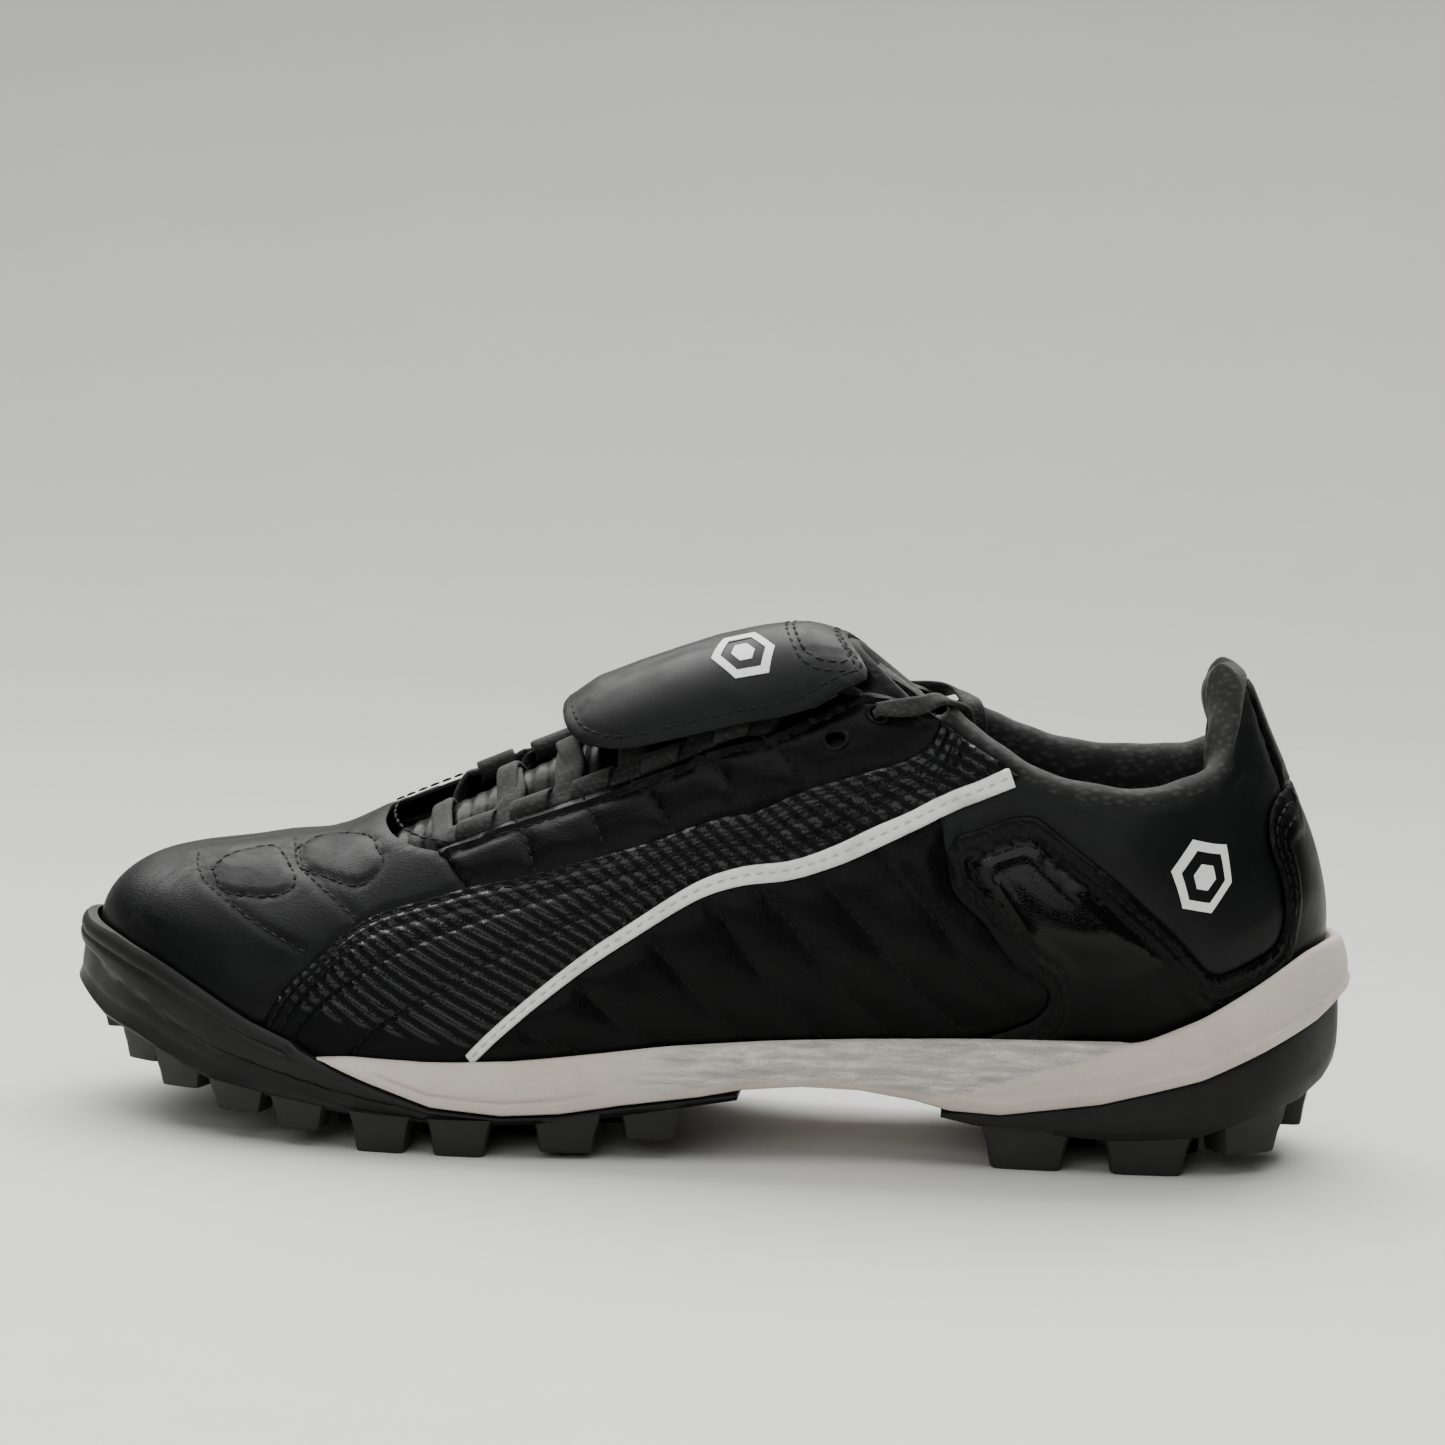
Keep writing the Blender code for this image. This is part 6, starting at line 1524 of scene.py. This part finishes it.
tongue_outline = rounded(-83, 33.5, -25, 25, (9, 5, 5, 9), 8)
tongue = arch_sheet("tongue_face", tongue_outline, tongue_at, -1.25, -.02, M["patent"], .85, tongue_ribs, replaces=["tongue_cover"], slot="patent", smooth=40)
lining_outline = rounded(-83, 34.6, -25.6, 25.6, (9, 5, 5, 9), 8)
tongue_back = arch_sheet("tongue_mesh_lining", lining_outline, tongue_at, -7.0, -5.4, M["mesh"], 2.2, lambda v, rim: -.6 * (1 - ramp(rim, 0, 2)), soft=.8, replaces=["tongue_lining"], slot="textile", smooth=50)
# woven rim that closes the tongue's edge round the foam
edge_pts = even(np.vstack([tongue_outline, tongue_outline[:1]]), 1.3)[:-1]
normal2 = unit(np.roll(edge_pts, -1, 0) - np.roll(edge_pts, 1, 0))
normal2 = np.stack([normal2[:, 1], -normal2[:, 0]], -1)
prof = [(-2.6, .30), (-1.2, .62), (.2, .35), (.95, -.6), (1.15, -2.4), (1.15, -4.2), (.8, -6.2), (-.4, -7.25), (-2.2, -7.2), (-2.0, -6.75), (-.4, -6.6), (.15, -5.4), (.2, -3.2), (.1, -1.5), (-.6, -.55), (-2.6, -.15)]
rings = np.stack([tongue_at(edge_pts + normal2 * off, np.full(len(edge_pts), h)) for off, h in prof], 1)
rim_piece = loft("tongue_binding", rings, M["knit"], closed=True, caps=False, slot="textile", smooth=60)

# ---- flap: one leather piece from the tip, over the fold, to its anchor on the tongue -------------------------------
fx1 = 31.4
r = 19.0
front = []
for a in np.linspace(-math.pi / 2, math.pi / 2, 49):
    c, s = math.cos(a), math.sin(a)
    front.append((-35 + r - r * c ** .75, 25 * abs(s) ** .75 * (1 if s > 0 else -1)))
rear = [(8, 25), (14, 24.4), (19, 22.6), (24, 20.8), (28, 19.0), (30.2, 16.0), (31.2, 12.0), (31.4, 6.0)]
flap_outline = np.array(front + rear + [(x, -q) for x, q in rear[::-1]])
flap_outline = even(np.vstack([flap_outline, flap_outline[:1]]), 1.0)[:-1]


def flap_relief(v, rim):
    x, q = v[:, 0], v[:, 1]
    d = -.30 * np.exp(-((rim - 2.3) / .5) ** 2) + .14 * ramp(rim, 3, 8)
    d += .22 * np.sin(x / 8.5 + .9 * np.sin(q / 7)) * np.sin(q / 9 + .6)
    d += -.30 * np.exp(-((q + 5 - .12 * x + 1.5 * np.sin(x / 9)) / 1.6) ** 2) * ramp(x, -26, -14) * (1 - ramp(x, 2, 14))
    box = np.abs(np.maximum(np.abs(x - 23.5) - 4.8, np.abs(q) - 12.0) - 1.2)
    return d - .3 * np.exp(-(box / .5) ** 2)


flap = arch_sheet("flap_leather", flap_outline, flap_at, -1.3, 0, M["flap"], 1.2, flap_relief, edge=1.0, slot="satin_leather", body=None, smooth=45)
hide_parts("flap_cover", "flap_anchor")
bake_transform(flap)


def arch_stitches(group, line, at, d, **more):
    p = even(np.asarray(line, float), .9)
    pts = at(p, np.full(len(p), d))
    ups = at(p, np.full(len(p), d + 1.0)) - pts
    stitches(group, pts, ups, THREAD, **more)


cx0, cy0 = flap_outline.mean(0)
nx = unit(np.roll(flap_outline, -1, 0) - np.roll(flap_outline, 1, 0))
inward = np.stack([-nx[:, 1], nx[:, 0]], -1)
if ((flap_outline + inward - [cx0, cy0]) ** 2).sum() > ((flap_outline - [cx0, cy0]) ** 2).sum():
    inward = -inward
arch_stitches("flap_stitching", (flap_outline + inward * 2.3)[2:-2], flap_at, -.12, body=None)
box_line = rounded(18.7, 28.3, -15.5, 15.5, (4, 4, 4, 4), 6)
arch_stitches("flap_stitching", np.vstack([box_line, box_line[:1]]), flap_at, -.10, body=None)
box_line = rounded(16.9, 29.6, -17.6, 17.6, (4, 4, 4, 4), 6)
arch_stitches("flap_stitching", np.vstack([box_line, box_line[:1]]), flap_at, -.10, body=None)

felt_outline = flap_outline[(flap_outline[:, 0] < 20.5)]
felt_outline = np.vstack([felt_outline]) * [1, .985] + [0.35, 0]


def felt_relief(v, rim):
    return .18 * np.sin(v[:, 0] * 2.1 + 2 * np.sin(v[:, 1] * 1.3)) * np.sin(v[:, 1] * 1.9)


felt = arch_sheet("flap_felt", felt_outline, flap_at, -3.7, -1.36, M["felt"], 1.6, felt_relief, soft=.9, replaces=["flap_backing"], slot="felt", body="flap", smooth=60)


def fibres(name, roots, aims, body, n_seg=5, long=(1.5, 4.2), thick=.055):
    """Stray felt fibres: thin curved strands."""
    points, faces = [], []
    for p, a in zip(roots, aims):
        length = rng.uniform(*long)
        curl = rng.normal(0, .55, 3)
        q, d = np.array(p, float), unit(np.array(a, float) + rng.normal(0, .45, 3))
        side = unit(np.cross(d, rng.normal(0, 1, 3)))
        base = len(points)
        for k in range(n_seg + 1):
            w = thick * (1 - .7 * k / n_seg)
            s2 = np.cross(d, side)
            for g in (0, 2.094, 4.189):
                points.append(q + (side * math.cos(g) + s2 * math.sin(g)) * w)
            d = unit(d + curl * .35)
            q = q + d * length / n_seg
        for k in range(n_seg):
            for i in range(3):
                j = (i + 1) % 3
                faces.append((base + k * 3 + i, base + k * 3 + j, base + (k + 1) * 3 + j, base + (k + 1) * 3 + i))
        faces += [(base + 2, base + 1, base), tuple(base + n_seg * 3 + i for i in range(3))]
    return build(name, points, faces, M["thread"], body=body, slot="felt", smooth=80)


f_edge = even(felt_outline, .9)
centre = f_edge.mean(0)
roots = flap_at(f_edge, np.full(len(f_edge), -1.9))
aims = flap_at(f_edge + unit(f_edge - centre) * 1.0, np.full(len(f_edge), -2.1)) - roots
pick = rng.random(len(roots)) < .95
fibres("flap_felt_fibres", roots[pick], aims[pick], "flap", long=(.8, 2.6), thick=.045)

# ---- plain white marks in place of the printed ones: a hexagon ring round a small hexagon --------------------------------
def hexagon(cx, cy, r, turn=0.0, sx=1.0):
    return np.array([(cx + sx * r * math.cos(turn + k * math.tau / 6), cy + r * math.sin(turn + k * math.tau / 6)) for k in range(6)])


def print_mark(name, outer, holes, at, d, body, step=1.0):
    outer = resample(outer, .8, closed=True)
    cut = [resample(h, .8, closed=True) for h in holes]
    verts, faces = triangulate(outer, cut, step)
    hi, lo = d(verts) + .13, d(verts) - .12
    return sheet_solid(verts, faces, at(verts, hi), at(verts, lo))


def marks(name, shapes, at, d, body):
    points, faces = [], []
    for outer, holes in shapes:
        p, f = print_mark(name, outer, holes, at, d, body)
        base = len(points)
        points += list(p)
        faces += [tuple(base + v for v in face) for face in f]
    return build(name, points, faces, M["print"], body=body, slot="white_trim", smooth=60)


def quarter_top(verts):
    u, t = UPPER.back(verts)
    xyz = skin(u, t, 0)
    return SKIN_OUT + .55 + .16 * np.sin(xyz[:, 0] / 6.5 + np.sin(xyz[:, 2] / 7)) + .02


def on_upper(verts, d):
    u, t = UPPER.back(verts)
    return skin(u, t, d)


for side, word in ((1, "lateral"), (-1, "medial")):
    c = spread(np.array([side * 3.02]), np.array([.665]))[0]
    marks("ankle_mark_" + word, [(hexagon(*c, 7.9, sx=1.22), [hexagon(*c, 5.7, sx=1.22)]), (hexagon(*c, 2.9, sx=1.22), [])], on_upper, quarter_top, "shoe")


def flap_top(verts):
    x, q = verts[:, 0], verts[:, 1]
    return .14 + .22 * np.sin(x / 8.5 + .9 * np.sin(q / 7)) * np.sin(q / 9 + .6) + .04 * np.ones(len(verts))


hx, hy = 6.0, -10.5
marks("flap_mark", [(hexagon(hx, hy, 7.0), [hexagon(hx, hy, 5.0)]), (hexagon(hx, hy, 2.6), []),
                    ], flap_at, flap_top, "flap")

# ---- laces --------------------------------------------------------------------------------------------------------------
def band(path, ups, wide, thick, n=5):
    """Rings of a soft flat band along a path."""
    both = smooth_rows(np.hstack([path, ups, wide[:, None], thick[:, None]]), n)
    p, q, w, h = both[:, :3], unit(both[:, 3:6]), both[:, 6], both[:, 7]
    tan = unit(np.gradient(p, axis=0))
    across = unit(np.cross(tan, q))
    lift = unit(np.cross(across, tan))
    prof = [(1, 0), (.93, .62), (.70, .95), (.35, 1.0), (0, .92), (-.35, 1.0), (-.70, .95), (-.93, .62), (-1, 0), (-.93, -.62), (-.70, -.95), (-.35, -1.0), (0, -.92), (.35, -1.0), (.70, -.95), (.93, -.62)]
    return np.stack([p + across * (w / 2 * x)[:, None] + lift * (h / 2 * y)[:, None] for x, y in prof], 1), p


LACE, LACE_UP = lace_path()
ends = np.minimum(np.arange(len(LACE)), np.arange(len(LACE))[::-1])
wide = np.interp(ends, [0, 4, 5, 7], [2.4, 2.4, 3.6, 5.4])
thick = np.interp(ends, [0, 4, 5, 7], [1.5, 1.5, 1.4, 1.5])
rings, _ = band(LACE, LACE_UP, wide, thick, 6)
loft("lace_band", rings, M["lace"], replaces=["lace"], slot="lace", smooth=60)

for side_name, side in (("lateral", 1), ("medial", -1)):
    for k, x in enumerate(ROW_X):
        u, t = throat_at(x, side)
        kk = rise(u, t)
        mid = smooth_rows(np.array(loop_shape), 4)
        d = unit(np.gradient(mid, axis=0))
        n = np.stack([-d[:, 1], d[:, 0]], -1)
        rings = []
        for du, w in ((-.155, .45), (-.148, .85), (-.125, 1), (-.06, 1), (0, .96), (.06, 1), (.125, 1), (.148, .85), (.155, .45)):
            outer, inner = mid - n * .38 * w, mid + n * .38 * w
            ring2 = np.vstack([outer, inner[::-1]])
            rings.append(skin(np.full(len(ring2), u + du * side), t + ring2[:, 0] / kk, ring2[:, 1]))
        loft(f"lace_loop_band_{side_name}_{k + 1}", rings, M["lace"], replaces=[f"lace_loop_{side_name}_{k + 1}"], slot="lace", smooth=60)


def tail(side_name, side):
    u, t = (EYELETS_L if side > 0 else EYELETS_M)[1]
    rows = np.array([skin(u, t, 2.9), skin(side * 7.7, .93, 2.5), skin(side * 7.35, 1.0, 2.3), skin(side * 6.95, 1.052, -1.0), skin(side * 6.75, 1.035, -11.2), skin(side * 6.5, .90, -12.2), skin(side * 6.3, .78, -12.4),
                     skin(side * 6.1, .66, -12.0), skin(side * 5.95, .56, -11.0), skin(side * 5.85, .48, -9.6)])
    if side < 0:
        rows[1], rows[2], rows[3] = skin(side * 7.7, .93, 2.2), skin(side * 7.35, .995, 1.9), skin(side * 6.95, 1.035, -1.0)
    ups = []
    for k in range(len(rows)):
        if k < 3:
            ups.append(skin(side * (7.9 - .3 * k), .93, 1) - skin(side * (7.9 - .3 * k), .93, 0))
        elif k == 3:
            ups.append(np.array([.35, -.1 * side, 1.0]))
        else:
            ups.append(np.array([0, side * 1.0, .1]))
    ups = unit(np.array(ups))
    w = np.full(len(rows), 4.6)
    w[0], w[-1] = 3.2, 3.0
    rings, line = band(rows, ups, w, np.full(len(rows), 1.3), 8)
    cord = loft("lace_tail_band_" + side_name, rings, M["lace"], replaces=["lace_tail_" + side_name], slot="lace", smooth=60)
    step = unit(np.array([.12, 0, -1.0]))
    start = rows[-1] + step * .5
    a = unit(np.cross(step, np.array([0, 1.0, 0])))
    b = np.cross(step, a)
    tube = []
    for along, r in ((-1.6, 1.1), (-.2, 1.15), (0, 1.3), (.25, 1.5), (.8, 1.6), (1.2, 1.5), (1.7, 1.5), (16.5, 1.45), (17.2, 1.35), (17.8, 1.05), (18.0, .6)):
        tube.append([start + step * along + (a * math.cos(q) + b * math.sin(q)) * r for q in np.arange(20) * math.tau / 20])
    tip = loft("aglet_tip_" + side_name, tube, M["aglet"], replaces=["aglet_" + side_name], slot="aglet", smooth=50)


tail("lateral", 1)
tail("medial", -1)

finish_threads()
for name in ("flap_stitching",):
    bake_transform(bpy.data.objects[name])

# ---- floor, backdrop and light -------------------------------------------------------------------------------------------
n = Nodes("paper_floor")
depth = n.new("ShaderNodeSeparateXYZ", {0: n.at}).outputs["Y"]
# painted light falloff: the paper is painted bright at the front and darker towards the back and up the sweep, where
# less light reaches it
near = n.span(depth, -.75, .9, 1.0, 0.0, "SMOOTHSTEP")
paper = n.mix(near, (.305, .307, .294, 1), (.83, .832, .797, 1))
n.link("Base Color", n.mix(n.math("MULTIPLY", n.noise(9, 4, .5), .06), paper, grey(.6, .004)))
n.link("Roughness", n.span(n.noise(60, 3, .5), .3, .7, .62, .78))
n.link("Normal", n.bump(n.noise(900, 3, .5), .05, .0003))
prof = [(-3.2, 0.0), (1.1, 0.0)] + [(1.1 + 1.2 * math.sin(a), 1.2 - 1.2 * math.cos(a)) for a in np.linspace(.05, math.pi / 2, 22)] + [(2.3, 4.5)]
points, faces = [], []
for y, z in prof:
    points += [(-4.0, y, z), (4.0, y, z)]
for k in range(len(prof) - 1):
    faces.append((2 * k, 2 * k + 1, 2 * k + 3, 2 * k + 2))
mesh = bpy.data.meshes.new("floor_sweep")
mesh.from_pydata(points, [], faces)
mesh.materials.append(n.mat)
mesh.shade_smooth()
floor = bpy.data.objects.new("floor_sweep", mesh)
bpy.context.scene.collection.objects.link(floor)


def area_light(name, at, aim, size, power, colour=(1, 1, 1)):
    lamp = bpy.data.lights.new(name, "AREA")
    lamp.shape = "RECTANGLE"
    lamp.size, lamp.size_y = size
    lamp.energy = power
    lamp.color = colour
    obj = bpy.data.objects.new(name, lamp)
    obj.location = at
    obj.rotation_mode = "QUATERNION"
    obj.rotation_quaternion = (Vector(aim) - Vector(at)).to_track_quat("-Z", "Y")
    bpy.context.scene.collection.objects.link(obj)


area_light("back_window", (-.15, 1.05, 1.45), (-.05, .0, .03), (2.8, 1.3), 82, (1, 1, .985))
area_light("ceiling_light", (-.1, -.15, 2.0), (-.05, 0, 0), (3.0, 2.2), 46, (1, 1, .985))
area_light("front_fill", (-.6, -1.9, 1.0), (0, -.1, .0), (2.0, 1.0), 15)
area_light("back_wash", (0, .7, 2.1), (0, 2.2, .9), (2.6, .6), 10)
world = bpy.data.worlds.new("studio")
bpy.context.scene.world = world
world.use_nodes = True
world.node_tree.nodes["Background"].inputs[0].default_value = (.93, .94, .95, 1)
world.node_tree.nodes["Background"].inputs[1].default_value = .07
